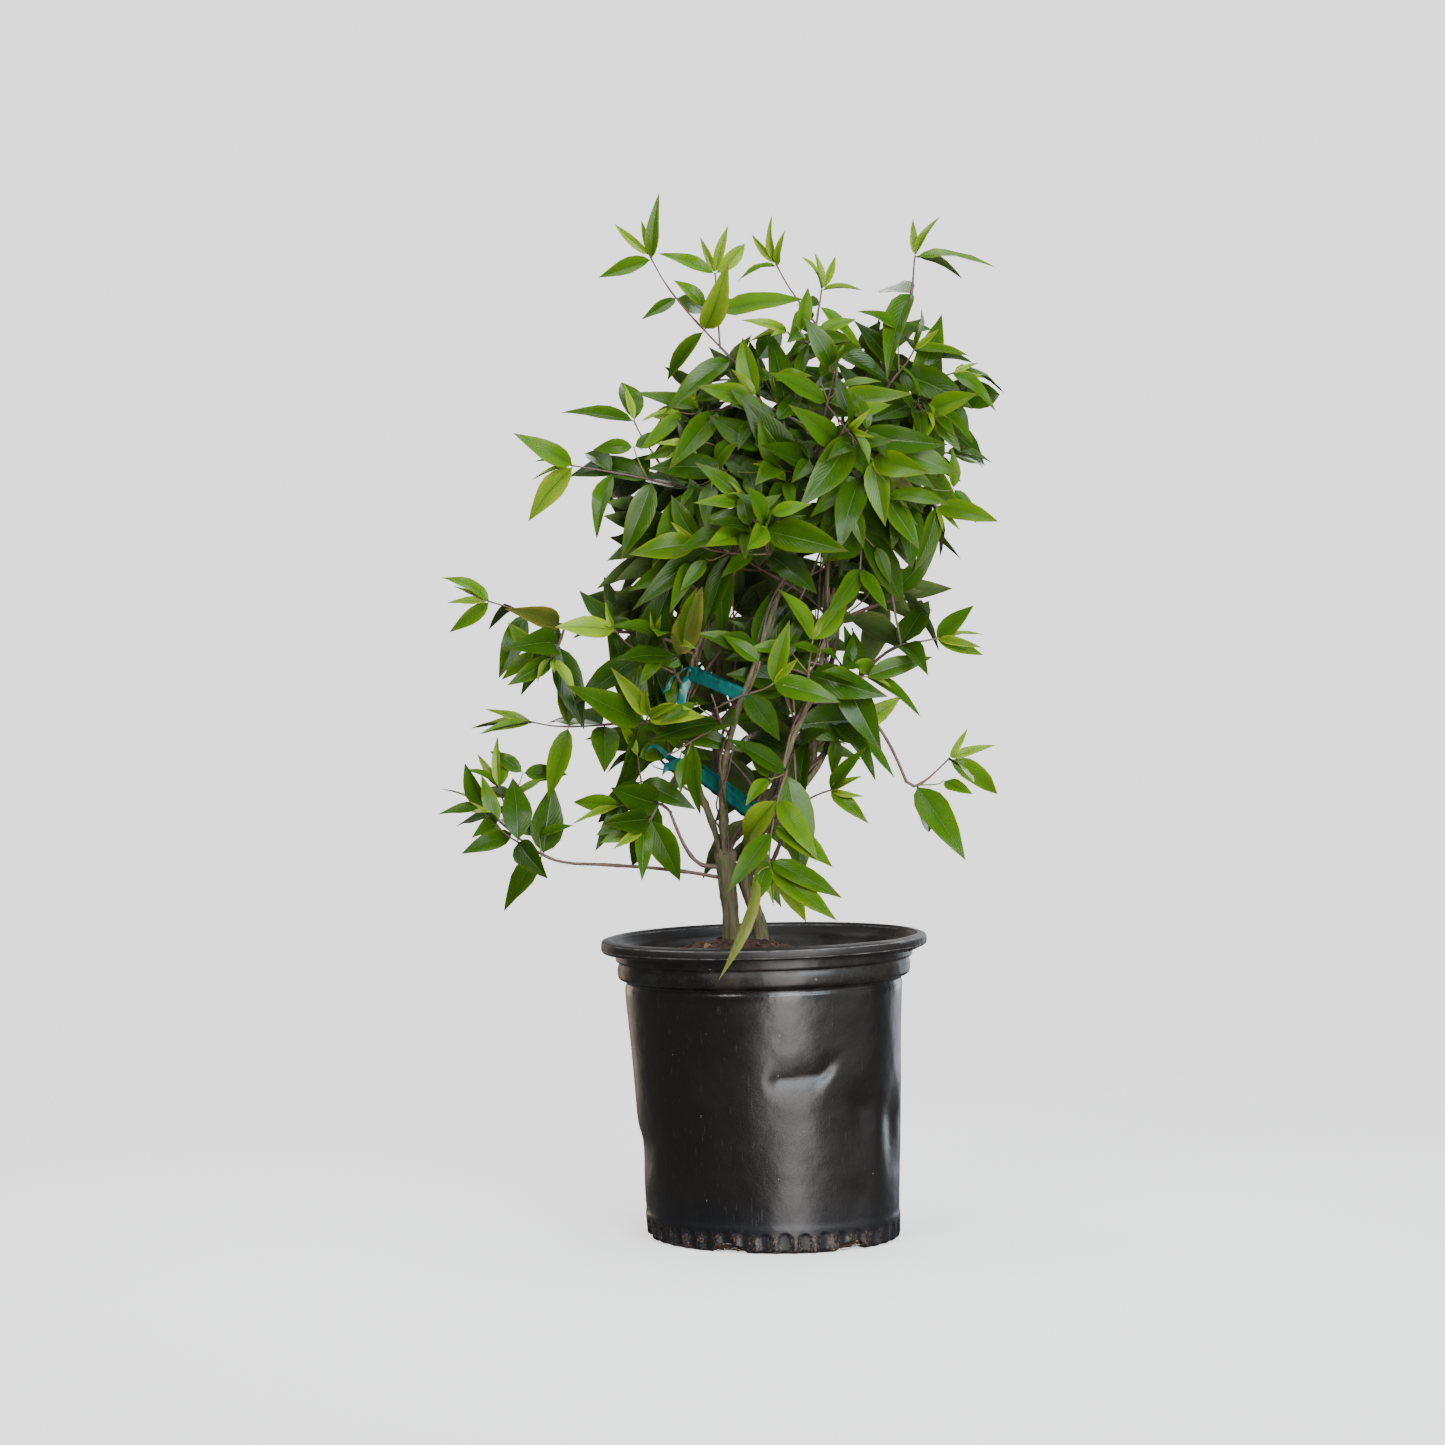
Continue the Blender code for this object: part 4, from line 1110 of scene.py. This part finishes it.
def side_shoot(mass, twig, share, side, rng, shortest, longest):
    """A green shoot from a leaf's axil, and how long it is."""
    point, direction, radius = along(twig, share)
    face = facing(mass, rng)
    across = direction.cross(face).normalized() * side
    way = across * rng.uniform(0.5, 1.0) + direction * 0.7 + face * rng.uniform(-0.5, 0.6)
    way = (way + jitter(rng, 0.3)).normalized()
    length = rng.uniform(min(shortest, longest * 0.4), longest)
    return tapered(shoot_path(point, way, length, 0.2, 0.15), min(radius, 0.0008), 0.0004), length


def small_leaf(twig, share, face, side, length, rng, splay):
    """The place of a small leaf on a shoot."""
    point, direction, _ = along(twig, share)
    across = direction.cross(face)
    across = across.normalized() * side if across.length > 0.1 else direction.orthogonal() * side
    way = (across + direction * splay - UP * 0.35 + jitter(rng, 0.2)).normalized()
    width = length * rng.uniform(0.32, 0.42)
    return leaf_frame(point, way, face, length, width)


class Foliage:
    """All leaves and shoots: the leaves by tint, and the stems by kind."""

    def __init__(self, wiry, shoot):
        under = leaf_finish("leaf_underside", UNDERSIDE, 0.62, 0.8)
        rib = rib_finish()
        self.blades = leaf_blades()
        self.leaves = {}
        for tint, colour in TINTS.items():
            upper = leaf_finish(f"leaf_{tint}", colour, 0.25, 0.5)
            self.leaves[tint] = Heap(f"leaves_{tint}", "leaf", upper, rib, under)
        self.stems = Heap("spray_stems", "leaf", wiry)
        self.shoots = Heap("green_shoots", "leaf", shoot)
        self.room = standing_room()
        self.count = 0

    def leaf(self, tint, place, form, rng):
        blade = rng.choice(self.blades[form])
        self.leaves[tint].add(blade, place, rng.random())
        self.count += 1

    def try_leaf(self, tint, place, rng, start=0.3):
        """Adds a finer leaf where there is room for it, and says whether there was."""
        form = rng.randrange(len(ARCHES))
        outline = leaf_outline(place, ARCHES[form], start)
        if hides_tie(place) or not inside_box(outline[0]) or not self.room.has_room_for(*outline):
            return False
        self.room.add(*outline)
        self.leaf(tint, place, form, rng)
        return True

    def bud(self, twig, face, rng, size):
        """Narrow young leaves that close the tip of a shoot."""
        turned = (face + jitter(rng, 0.6)).normalized()
        for side in SIDES:
            length = size * rng.uniform(0.75, 1.15)
            place = small_leaf(twig, 0.985, turned, side, length, rng, 3.6)
            self.try_leaf("young", place @ Matrix.Diagonal(BUD_LEAF), rng, 0.4)

    def grow(self, name, mass, limbs):
        twigs, leaves = regrow(name, mass, limbs)
        stem = twigs[0]
        rng = Random(name)
        for place, form, share in leaves:
            tint = tint_for(name, share, rng)
            if not hides_tie(place):
                self.leaf(tint, place @ leaf_scale(name), form, rng)
        inner = name.startswith("crown_")
        for twig in twigs:
            spots = stations(twig, BARE_STEM if twig is stem else BARE_TWIG)
            self.stems.take(tube(jointed(rooted(twig), 0.005, spots, 0.35), 7))
            self.bud(twig, facing(mass, rng), rng, 0.028 if inner else 0.04)
            for share in spots[:-1]:
                self.shoot(name, mass, stem, twig, share, rng)

    def shoot(self, name, mass, stem, twig, share, rng):
        """Finer growth from one pair's axils: leafy shoots, more and longer ones within the crown."""
        inner = name.startswith("crown_")
        for turn, side in enumerate(SIDES * (2 if inner else 1)):
            if rng.random() > (0.85 if inner else 0.15):
                continue
            long = inner and turn < 2
            fine, length = side_shoot(mass, twig, share + 0.02, side, rng, 0.026, 0.058 if long else 0.032)
            tip = fine.path[-1]
            fits = in_space(mass, stem, tip) and inside_box(fine.path)
            if fits and (well_inside(tip) or not long):
                self.dress(name, fine, length, facing(mass, rng), rng, 0.4 if long else 0.7)

    def dress(self, name, fine, length, face, rng, age):
        """Leaf pairs along a fine shoot, and the shoot itself where it got any."""
        before = self.count
        for at in (0.5, 0.97) if length > 0.034 else (0.96,):
            for side in SIDES:
                size = min(0.064, max(0.034, length * rng.uniform(0.95, 1.35)))
                for _ in range(4):
                    place = small_leaf(fine, at, face, side, size, rng, rng.uniform(0.3, 1.2))
                    if self.try_leaf(tint_for(name, age, rng), place, rng):
                        break
        if self.count > before:
            self.shoots.take(tube(rounded(fine, 0.006), 5))

    def hang(self, limbs):
        """The long thin shoot at the low front, with the narrow leaf that hangs over the rim."""
        stem = mass_stem(SPRAYS["low_front"], limbs)
        tip = stem.path[-1]
        foot, *leaf = HANGING
        path = arched(tip, Vector((-0.1, -1, 0)), tip + Vector(foot), 0.1, 5)
        self.shoots.take(tube(rounded(tapered(path, 0.0009, 0.0006), 0.004), 7))
        rows = [(along(stem, share)[0], *rest) for share, *rest in LOW_FRONT]
        rng = Random(3)
        for base, end, width, face, tint in [*rows, (path[-1], *leaf)]:
            way = Vector(end) - base
            place = leaf_frame(base, way.normalized(), Vector(face).normalized(), way.length, width)
            self.leaf(tint, place, 1, rng)

    def finish(self):
        for heap in [*self.leaves.values(), self.stems, self.shoots]:
            heap.finish()


# Bark


def round_noise(turn, wide, height):
    """Noise on a cylinder, which meets itself all round."""
    return noise.noise(Vector((cos(turn) * wide, sin(turn) * wide, height)))


def bark_relief(seed, depth, count):
    """The relief of one stem's bark: lengthwise ridges that waver, lumps and fine roughness."""

    def relief(turn, length, radius):
        drift = round_noise(turn, 1.5, length * 40 + seed)
        ridge = (0.5 + 0.5 * sin(turn * count + drift * 4.5)) ** 1.6
        lump = noise.noise(Vector((cos(turn), sin(turn), length * 60 + seed)) * 1.1)
        rough = round_noise(turn, 6, length * 260 + seed)
        return radius * depth * (ridge * 0.9 + lump * 0.9 + rough * 0.35 - 0.5)

    return relief


def clad(name, limb, sides, relief, finish):
    finished(tube(limb, sides, relief), name + "_bark", "bark", finish, replaces=[name])


def make_trunk(name, limb, finish):
    """A woody stem with fissured bark, whose top swells round the feet of its leaders."""
    fine = rounded(limb, 0.0012)
    path = fine.path + [fine.path[-1] + UP * rise for rise, _ in TRUNK_CAP]
    radii = fine.radii + [fine.radii[-1] * share for _, share in TRUNK_CAP]
    clad(name, Limb(path, radii), 40, bark_relief(len(name), 0.16, 9), finish)


def make_limb(name, limb, finish, sides, depth, knots):
    """A leader or a bough with its bark, knotty where twigs left it."""
    rng = Random(name)
    spots = [rng.uniform(0.05, 0.95) for _ in range(knots)]
    fine = jointed(rooted(limb), 0.0022, spots, 0.22)
    clad(name, fine, sides, bark_relief(rng.uniform(0, 90), depth, 5), finish)


def make_twiners(limbs, finish):
    """Thin old stems that wind up the leaders."""
    heap = Heap("twining_stems", "bark", finish)
    rng = Random(41)
    for name, (start, end, turns) in product(LEADERS, TWINERS):
        phase = rng.uniform(0, 360)
        own = rng.uniform(0.0006, 0.0011)
        path = []
        for i in range(TWINER_STEPS + 1):
            t = i / TWINER_STEPS
            point, direction, radius = along(limbs[name], start + (end - start) * t)
            angle = radians(phase + 360 * turns * t)
            side = direction.orthogonal().normalized()
            other = direction.cross(side)
            reach = radius + own * 0.8 + 0.0016 * (0.5 + 0.5 * sin(13 * t + phase))
            path.append(point + (side * cos(angle) + other * sin(angle)) * reach)
        heap.take(tube(rounded(tapered(path, own, own * 0.6), 0.004), 6, bark_relief(phase, 0.1, 3)))
    heap.finish()


def make_old_stems(limbs, finish):
    """Thin bare stems that cross from one leader to another through the open middle of the plant."""
    heap = Heap("old_bare_stems", "bark", finish)
    room = standing_room("spray_", "crown_", "tie_")
    rng = Random(11)
    feet = [*LEADERS, *TRUNKS]
    made = 0
    while made < OLD_STEMS:
        foot = rng.choice(feet)
        start = rng.uniform(0.86, 0.97) if foot in TRUNKS else rng.uniform(0.06, 0.55)
        rest = rng.choice([name for name in LEADERS if name != foot])
        low = 0.0 if foot in TRUNKS else start
        tip = along(limbs[rest], min(0.9, low + rng.uniform(0.16, 0.42)))[0]
        lift, thick = rng.uniform(-0.12, 0.16), rng.uniform(0.0009, 0.0014)
        stem = branch(limbs[foot], start, tip, lift, 2.2, 9, thick, 0.0007)
        before_tie = any(point.y < -0.008 and 0.33 < point.z < 0.41 for point in stem.path)
        if not before_tie and room.has_room_for(*sleeve(stem)):
            heap.take(tube(jointed(stem, 0.004, (0.3, 0.62), 0.3), 7, bark_relief(made, 0.1, 3)))
            made += 1
    heap.finish()


# Pot and soil


def inward_at(bearing, z):
    """How far the dents and the crease push the soft wall in at this place."""
    inward = 0.0
    for dent in DENTS:
        turn = (bearing - radians(dent.bearing) + pi) % (2 * pi) - pi
        up = (z - dent.z) / dent.tall
        up *= dent.lip if up > 0 else 0.85
        inward += dent.depth * exp(-((turn / dent.spread) ** 2) - up * up)
    return inward + creased(bearing, z)


def creased(bearing, z):
    """How deep the sharp fold in the front is: it fades up and down, and ends slantwise at the right."""
    across = (bearing - CREASE_LEFT) / (CREASE_RIGHT - CREASE_LEFT)
    drop = CREASE_Z + CREASE_RISE * min(1.0, max(0.0, across)) - z
    right = smoothstep((1.1 - across - 0.3 * drop / CREASE_BELOW) / 0.22)
    depth = CREASE_DEPTH * smoothstep(across / 0.3) * (1 - 0.15 * across) * right
    faded = drop / CREASE_BELOW if drop > 0 else -drop / CREASE_ABOVE
    return depth * max(0.0, 1 - faded) ** 2


def slumped(point):
    """A point of a true round pot, moved to where the soft, leaning and dented wall has it."""
    x, y, z = point
    radius = hypot(x, y)
    wall_share = smoothstep(radius / BASE_RADIUS)
    ripple = 0.0007 * noise.noise(Vector((x * 22, y * 22, z * 16)))
    scale = 1 - (inward_at(atan2(y, x), z) + ripple) * wall_share / max(radius, 1e-9)
    tilt = RIM_TILT * x * smoothstep(z / POT_HEIGHT) * wall_share
    return Vector((x * scale + LEAN * min(1.0, z / LEAN_Z), y * scale, z + tilt))


def wall_radius(z):
    return BASE_RADIUS + (WALL_TOP_RADIUS - BASE_RADIUS) * z / WALL_TOP_Z


def outer_wall():
    """The wall from the collar down: a shallow dip, the plain side, and a small step above the flutes."""
    top = [DIP_TOP_Z - 0.0004 * i for i in range(15)]
    wall = [WALL_TOP_Z + (FLUTE_ZONE - WALL_TOP_Z) * i / WALL_ROWS for i in range(1, WALL_ROWS + 1)]
    foot = [FLUTE_ZONE - 0.001 * i for i in range(1, 18)]
    outline = []
    for z in top + wall + foot:
        dip = DIP_DEPTH * exp(-(((z - DIP_Z) / 0.0026) ** 2))
        outline.append((wall_radius(z) - dip + FOOT_STEP * smoothstep((0.024 - z) / 0.0045), z))
    return outline


def fluted(radius, bearing, z):
    """The wall's radius at the foot, where arch-topped flutes are pressed in all round."""
    across = (bearing / (2 * pi) * FLUTES) % 1 - 0.5
    top = FLUTE_HEIGHT * (1 - 0.22 * min(1.0, (across / 0.34) ** 2))
    top += 0.0012 * round_noise(bearing, 9, 0)
    deeper = 0.45 * smoothstep((top - z) / 0.002) + 0.55 * max(0.0, top - z) / FLUTE_HEIGHT
    return radius - FLUTE_DEPTH * deeper * smoothstep((0.4 - abs(across)) / 0.15)


def battered(radius, bearing, z):
    """The lip: it hangs a little low round the left front, and is chipped and bent at the right."""
    past_seam = LIP_SEAM - degrees(bearing)
    if past_seam > 0:
        z -= 0.0013 * smoothstep(past_seam / 1.2) * smoothstep((0.2475 - z) / 0.005)
    near = exp(-(((degrees(bearing) - KNOCK) / 9) ** 2))
    rough = round_noise(bearing, 90, z * 300)
    worn = round_noise(bearing, 30, z * 40)
    z -= near * (0.0016 + 0.0014 * rough) * smoothstep((radius - 0.1262) / 0.004)
    return radius - near * 0.0012 * abs(rough) - 0.0001 * worn, z + 0.0001 * worn


def turned(outline, steps):
    """A closed outline of (radius, height) spun about the upright axis."""
    bm = bmesh.new()
    verts = [bm.verts.new((radius, 0, z)) for radius, z in outline]
    geom = verts + [bm.edges.new(pair) for pair in pairwise(verts)]
    still = (0, 0, 0)
    bmesh.ops.spin(bm, geom=geom, axis=UP, cent=still, dvec=still, angle=2 * pi, steps=steps, use_merge=True)
    bmesh.ops.remove_doubles(bm, verts=bm.verts, dist=1e-6)
    bmesh.ops.recalc_face_normals(bm, faces=bm.faces)
    return smooth(bm)


def make_pot(finish):
    rows = [FLOOR + (INNER_TOP_Z - FLOOR) * i / INNER_ROWS for i in range(INNER_ROWS + 1)]
    inner = [(wall_radius(z) - WALL, z) for z in rows] + INNER_RIM
    bm = turned(inner + OUTER_RIM + outer_wall() + UNDERSIDE_RING + inner[:1], POT_TURNS)
    for vert in bm.verts:
        x, y, z = vert.co
        radius, bearing = hypot(x, y), atan2(y, x)
        if 0.0001 < z < FLUTE_ZONE and radius > BASE_RADIUS - 0.003:
            radius = fluted(radius, bearing, z)
        if z > LIP_Z and radius > LIP_RADIUS:
            radius, z = battered(radius, bearing, z)
        vert.co = slumped((radius * cos(bearing), radius * sin(bearing), z))
    cut_drains(finished(bm, "nursery_pot", "pot_plastic", finish, replaces=["pot"]))


def cut_drains(pot):
    """Low arches cut into the foot, where water drains."""
    cutters = []
    for i in range(DRAIN_COUNT):
        bearing = DRAIN_START + i * 360 / DRAIN_COUNT
        turn = Matrix.Rotation(radians(bearing) + pi / 2, 4, "Z") @ Matrix.Rotation(pi / 2, 4, "X")
        middle = Matrix.Translation(polar(bearing, BASE_RADIUS) - UP * DRAIN_DROP)
        place = middle @ turn @ Matrix.Diagonal((DRAIN_STRETCH, 1, 1, 1))
        bm = bmesh.new()
        size = {"radius1": DRAIN_RADIUS, "radius2": DRAIN_RADIUS, "depth": 0.03}
        bmesh.ops.create_cone(bm, cap_ends=True, segments=40, matrix=place, **size)
        cut = pot.modifiers.new("drain", "BOOLEAN")
        cut.operation = "DIFFERENCE"
        cut.solver = "MANIFOLD"
        cut.object = placed("drain", mesh_of(bm, "drain"))
        cutters.append(cut.object)
    bpy.context.view_layer.update()
    mesh = bpy.data.meshes.new_from_object(pot.evaluated_get(bpy.context.evaluated_depsgraph_get()))
    pot.modifiers.clear()
    pot.data = mesh
    for cutter in cutters:
        bpy.data.objects.remove(cutter)


def soil_height(x, y):
    """How high the heaped mix stands: level at the wall, raised towards the stems."""
    away = hypot(x - HEAP_X, y)
    heap = SOIL_EDGE_Z + (HEAP_Z - SOIL_EDGE_Z) * (1 - smoothstep(away / HEAP_REACH))
    lumps = noise.noise(Vector((x * 60, y * 60, 3))) * 0.0016
    return heap + (lumps + noise.noise(Vector((x * 170, y * 170, 9))) * 0.0011)


def make_soil(finish):
    """The root ball in the pot, with a rough heaped surface."""
    edge = COLLAR_RADIUS - 0.0028
    top = [(edge * i / SOIL_RINGS, SOIL_TOP_Z) for i in range(SOIL_RINGS + 1)]
    rows = (0.2, 0.16, 0.12, 0.08, 0.04, 0.02, 0.012, FLOOR + CLEAR)
    side = [(wall_radius(z) - (WALL + ROOT_GAP), z) for z in rows] + [(0.0, FLOOR + CLEAR)]
    bm = turned(top + [(edge, 0.2245), (0.115, 0.2205), (0.1096, 0.215)] + side, SOIL_TURNS)
    for vert in bm.verts:
        x, y, z = vert.co
        if z > SOIL_TOP_Z - 0.0005:
            vert.co.z = soil_height(x, y)
        elif z > FLOOR + 0.001:
            rough = 1 + 0.01 * noise.noise(vert.co * 90)
            vert.co.x *= rough
            vert.co.y *= rough
        vert.co = slumped(vert.co)
    finished(bm, "bark_mix", "soil_mix", finish, replaces=["soil"])


def chip_shape(seed):
    """A rough flake of bark, one across."""
    rng = Random(seed)
    bm = bmesh.new()
    bmesh.ops.create_icosphere(bm, subdivisions=1, radius=0.5)
    for vert in bm.verts:
        vert.co += jitter(rng, 0.14)
    stretch = (1.0, rng.uniform(0.35, 0.65), rng.uniform(0.16, 0.32))
    bmesh.ops.scale(bm, vec=stretch, verts=bm.verts)
    return mesh_of(bm, "chip")


def soil_heap(name):
    return Heap(name, "soil_mix", soil_finish(*SOIL_BITS[name]))


def make_chips():
    """Bark chips, dark, brown and pale, scattered over the mix."""
    kinds = [soil_heap(name) for name in ("dark_chips", "brown_chips", "pale_chips")]
    shapes = [chip_shape(seed) for seed in range(7)]
    rng = Random(77)
    for _ in range(CHIPS):
        radius = 0.115 * sqrt(rng.random())
        spot = polar(rng.uniform(0, 360), radius)
        spot.z = soil_height(spot.x, spot.y)
        size = rng.choice(CHIP_SIZES)
        if hypot(spot.x, spot.y) > 0.117 - size:
            continue
        turn = Matrix.Rotation(rng.uniform(0, 6.3), 4, "Z") @ Matrix.Rotation(rng.gauss(0, 0.5), 4, "X")
        turn = turn @ Matrix.Rotation(rng.gauss(0, 0.35), 4, "Y")
        kind = kinds[rng.choice((0, 0, 0, 1, 1, 1, 2))]
        place = Matrix.Translation(slumped(spot)) @ turn @ Matrix.Scale(size, 4)
        kind.add(rng.choice(shapes), place, rng.random())
    for kind in kinds:
        kind.finish()


def make_roots():
    """Dark roots and a few pale fibres that show in the drain arches."""
    dark, pale = soil_heap("drain_roots"), soil_heap("pale_fibres")
    rng = Random(5)
    for drain, i in product(range(DRAIN_COUNT), range(ROOTS)):
        middle = DRAIN_START + drain * 360 / DRAIN_COUNT
        start, reach = rng.uniform(-9, 4), rng.uniform(4, 9)
        height, slope = rng.uniform(0.0015, 0.0075), rng.uniform(-0.003, 0.003)
        path = []
        for k in range(7):
            point = polar(middle + start + reach * k / 6, 0.0998 + rng.uniform(0, 0.0022))
            path.append(point + UP * max(0.0008, height + slope * k / 6 + rng.uniform(-0.001, 0.001)))
        thick = rng.uniform(0.0003, 0.0007)
        (dark if i % 4 else pale).take(tube(rounded(tapered(path, thick, thick * 0.5), 0.0015), 5))
    dark.finish()
    pale.finish()


# Ties


def ribbon(path, ups, widths):
    """A thin strip of tape along a path. ups are the ways that its width runs."""
    bm = bmesh.new()
    rows = len(path) - 1
    columns = 4
    bmesh.ops.create_grid(bm, x_segments=rows, y_segments=columns, size=1)
    for vert in bm.verts:
        row = round((vert.co.x + 1) / 2 * rows)
        across = vert.co.y
        bow = 0.0003 * cos(across * pi / 2)
        normal = (path[min(row + 1, rows)] - path[max(row - 1, 0)]).cross(ups[row]).normalized()
        vert.co = path[row] + ups[row] * across * widths[row] / 2 + normal * bow
    bmesh.ops.solidify(bm, geom=bm.faces, thickness=TAPE)
    bmesh.ops.recalc_face_normals(bm, faces=bm.faces)
    return smooth(bm)


def make_tie(name, row, limbs, finish):
    """A loop of tape drawn round two leaders, with its loose ends."""
    ends = (along(limbs[row.second], row.there), along(limbs[row.first], row.at))
    line = (ends[0][0] - ends[1][0]).normalized()
    path, ups = [], []
    for (centre, rise, radius), start in zip(ends, (-90, 90)):
        out = rise.cross(line).normalized()
        across = out.cross(rise)
        for step in range(13):
            turn = radians(start + 15 * step)
            reach = radius + TIE_SLACK + 0.0004
            path.append(centre + (across * cos(turn) - out * sin(turn)) * reach)
            ups.append(rise)
    path = path[13:] + path[:15]
    ups = ups[13:] + ups[:15]
    fine, fine_ups = [], []
    for (here, up), (there, next_up) in pairwise(zip(path, ups)):
        count = max(1, round((there - here).length / 0.003))
        for k in range(count):
            fine.append(here.lerp(there, k / count))
            fine_ups.append(up.lerp(next_up, k / count).normalized())
    heap = Heap(name + "_tape", "tape", finish)
    heap.nodes = [name]
    pinch = [row.width * (1 - 0.14 * abs(sin(0.9 * i))) for i in range(len(fine))]
    heap.take(ribbon(fine, fine_ups, pinch))
    for tail in TAILS[name]:
        heap.take(loose_end(tail))
    heap.finish()


def loose_end(tail):
    """A cut end of tape: it runs through these points, with its width and the way that its width lies."""
    fine = rounded(Limb([Vector(point) for point in tail.path], [0] * len(tail.path)), 0.0015).path
    last = len(fine) - 1
    side = Vector(tail.across).normalized()
    ups = [(side + UP.cross(side) * 0.5 * sin(4 * i / last)).normalized() for i in range(last + 1)]
    widths = [tail.width * (0.8 + 0.2 * sin(7 * i / last)) for i in range(last + 1)]
    return ribbon(fine, ups, widths)


# Stage


def make_camera():
    data = bpy.data.cameras.new("photo_view")
    data.lens = CAMERA_LENS
    data.sensor_width = SENSOR_WIDTH
    camera = placed("photo_view", data)
    camera.location = CAMERA_PLACE
    camera.rotation_euler = (radians(90 - CAMERA_DIP), 0, 0)
    bpy.context.scene.camera = camera


def make_lights():
    for name, (place, aim, size, power, colour) in LIGHTS.items():
        data = bpy.data.lights.new(name, "AREA")
        data.shape = "RECTANGLE"
        data.size, data.size_y = size
        data.energy = power
        data.color = colour
        light = placed(name, data)
        light.location = place
        light.rotation_euler = (UP * aim - Vector(place)).to_track_quat("-Z", "Y").to_euler()
        light.visible_camera = False
    world = bpy.data.worlds.new("studio")
    world.use_nodes = True
    ground = world.node_tree.nodes["Background"]
    ground.inputs["Color"].default_value = (1, 1, 1, 1)
    ground.inputs["Strength"].default_value = WORLD_LIGHT
    bpy.context.scene.world = world


def staged(bm, name, look, *unseen_by):
    """A floor or backdrop, which isn't part of the plant. These rays don't see it."""
    obj = placed(name, mesh_of(smooth(bm), name))
    obj.data.materials.append(look.material)
    for ray in unseen_by:
        setattr(obj, "visible_" + ray, False)


def make_stage():
    """A plain pale backdrop all round, and a round floor that fades out into it."""
    look = Look("pale_backdrop", 1.0, Specular_IOR_Level=0.0, Emission_Strength=BACKDROP)
    look.set(Base_Color=(0, 0, 0, 1), Emission_Color=(1, 1, 1, 1))
    bm = bmesh.new()
    bmesh.ops.create_uvsphere(bm, u_segments=48, v_segments=24, radius=9)
    bmesh.ops.reverse_faces(bm, faces=bm.faces)
    staged(bm, "backdrop", look, "diffuse", "glossy", "transmission", "shadow")
    look = Look("pale_floor", 0.8, Specular_IOR_Level=0.0, Emission_Strength=FLOOR_GLOW)
    edge = look.step(look.length(look.place()), 1.35, 0.35)
    look.set(Base_Color=(0.86, 0.86, 0.86, 1), Emission_Color=(1, 1, 1, 1), Alpha=edge)
    bm = bmesh.new()
    bmesh.ops.create_circle(bm, cap_ends=True, radius=1.4, segments=96)
    bmesh.ops.translate(bm, vec=(0, 0, -0.0004), verts=bm.verts)
    staged(bm, "floor", look, "diffuse", "glossy", "shadow")


def make_limbs(bark, wiry):
    limbs = {name: trunk(*row) for name, row in TRUNKS.items()}
    for name, row in LEADERS.items():
        limbs[name] = leader(row, limbs)
    for name, row in BOUGHS.items():
        tip = Vector(row.tip)
        limbs[name] = branch(limbs[row.limb], row.at, tip, row.lift, row.lean, 7, row.radius, TWIG_RADIUS)
    for name, limb in limbs.items():
        if name in LEADERS:
            make_limb(name, limb, bark, 14, 0.14, 9)
        elif name in BOUGHS:
            make_limb(name, limb, wiry, 10, 0.12, 4)
        else:
            make_trunk(name, limb, bark)
    make_twiners(limbs, wiry)
    make_old_stems(limbs, wiry)
    return limbs


def make_foliage(limbs, wiry, shoot):
    foliage = Foliage(wiry, shoot)
    masses = {"spray_" + name: mass for name, mass in SPRAYS.items()}
    for tier in TIERS:
        masses.update(ring_masses(tier, limbs))
    for name, mass in masses.items():
        foliage.grow(name, mass, limbs)
    foliage.hang(limbs)
    foliage.leaves["deep"].nodes = list(masses)
    foliage.finish()


def main():
    make_camera()
    make_lights()
    make_stage()
    bark, wiry, shoot = bark_finish(), wiry_finish(), shoot_finish()
    make_pot(pot_finish())
    make_soil(soil_finish("bark_mix", (0.022, 0.012, 0.008), (0.105, 0.054, 0.03)))
    make_chips()
    make_roots()
    limbs = make_limbs(bark, wiry)
    tape = tape_finish()
    for name, row in TIES.items():
        make_tie(name, row, limbs, tape)
    make_foliage(limbs, wiry, shoot)


main()
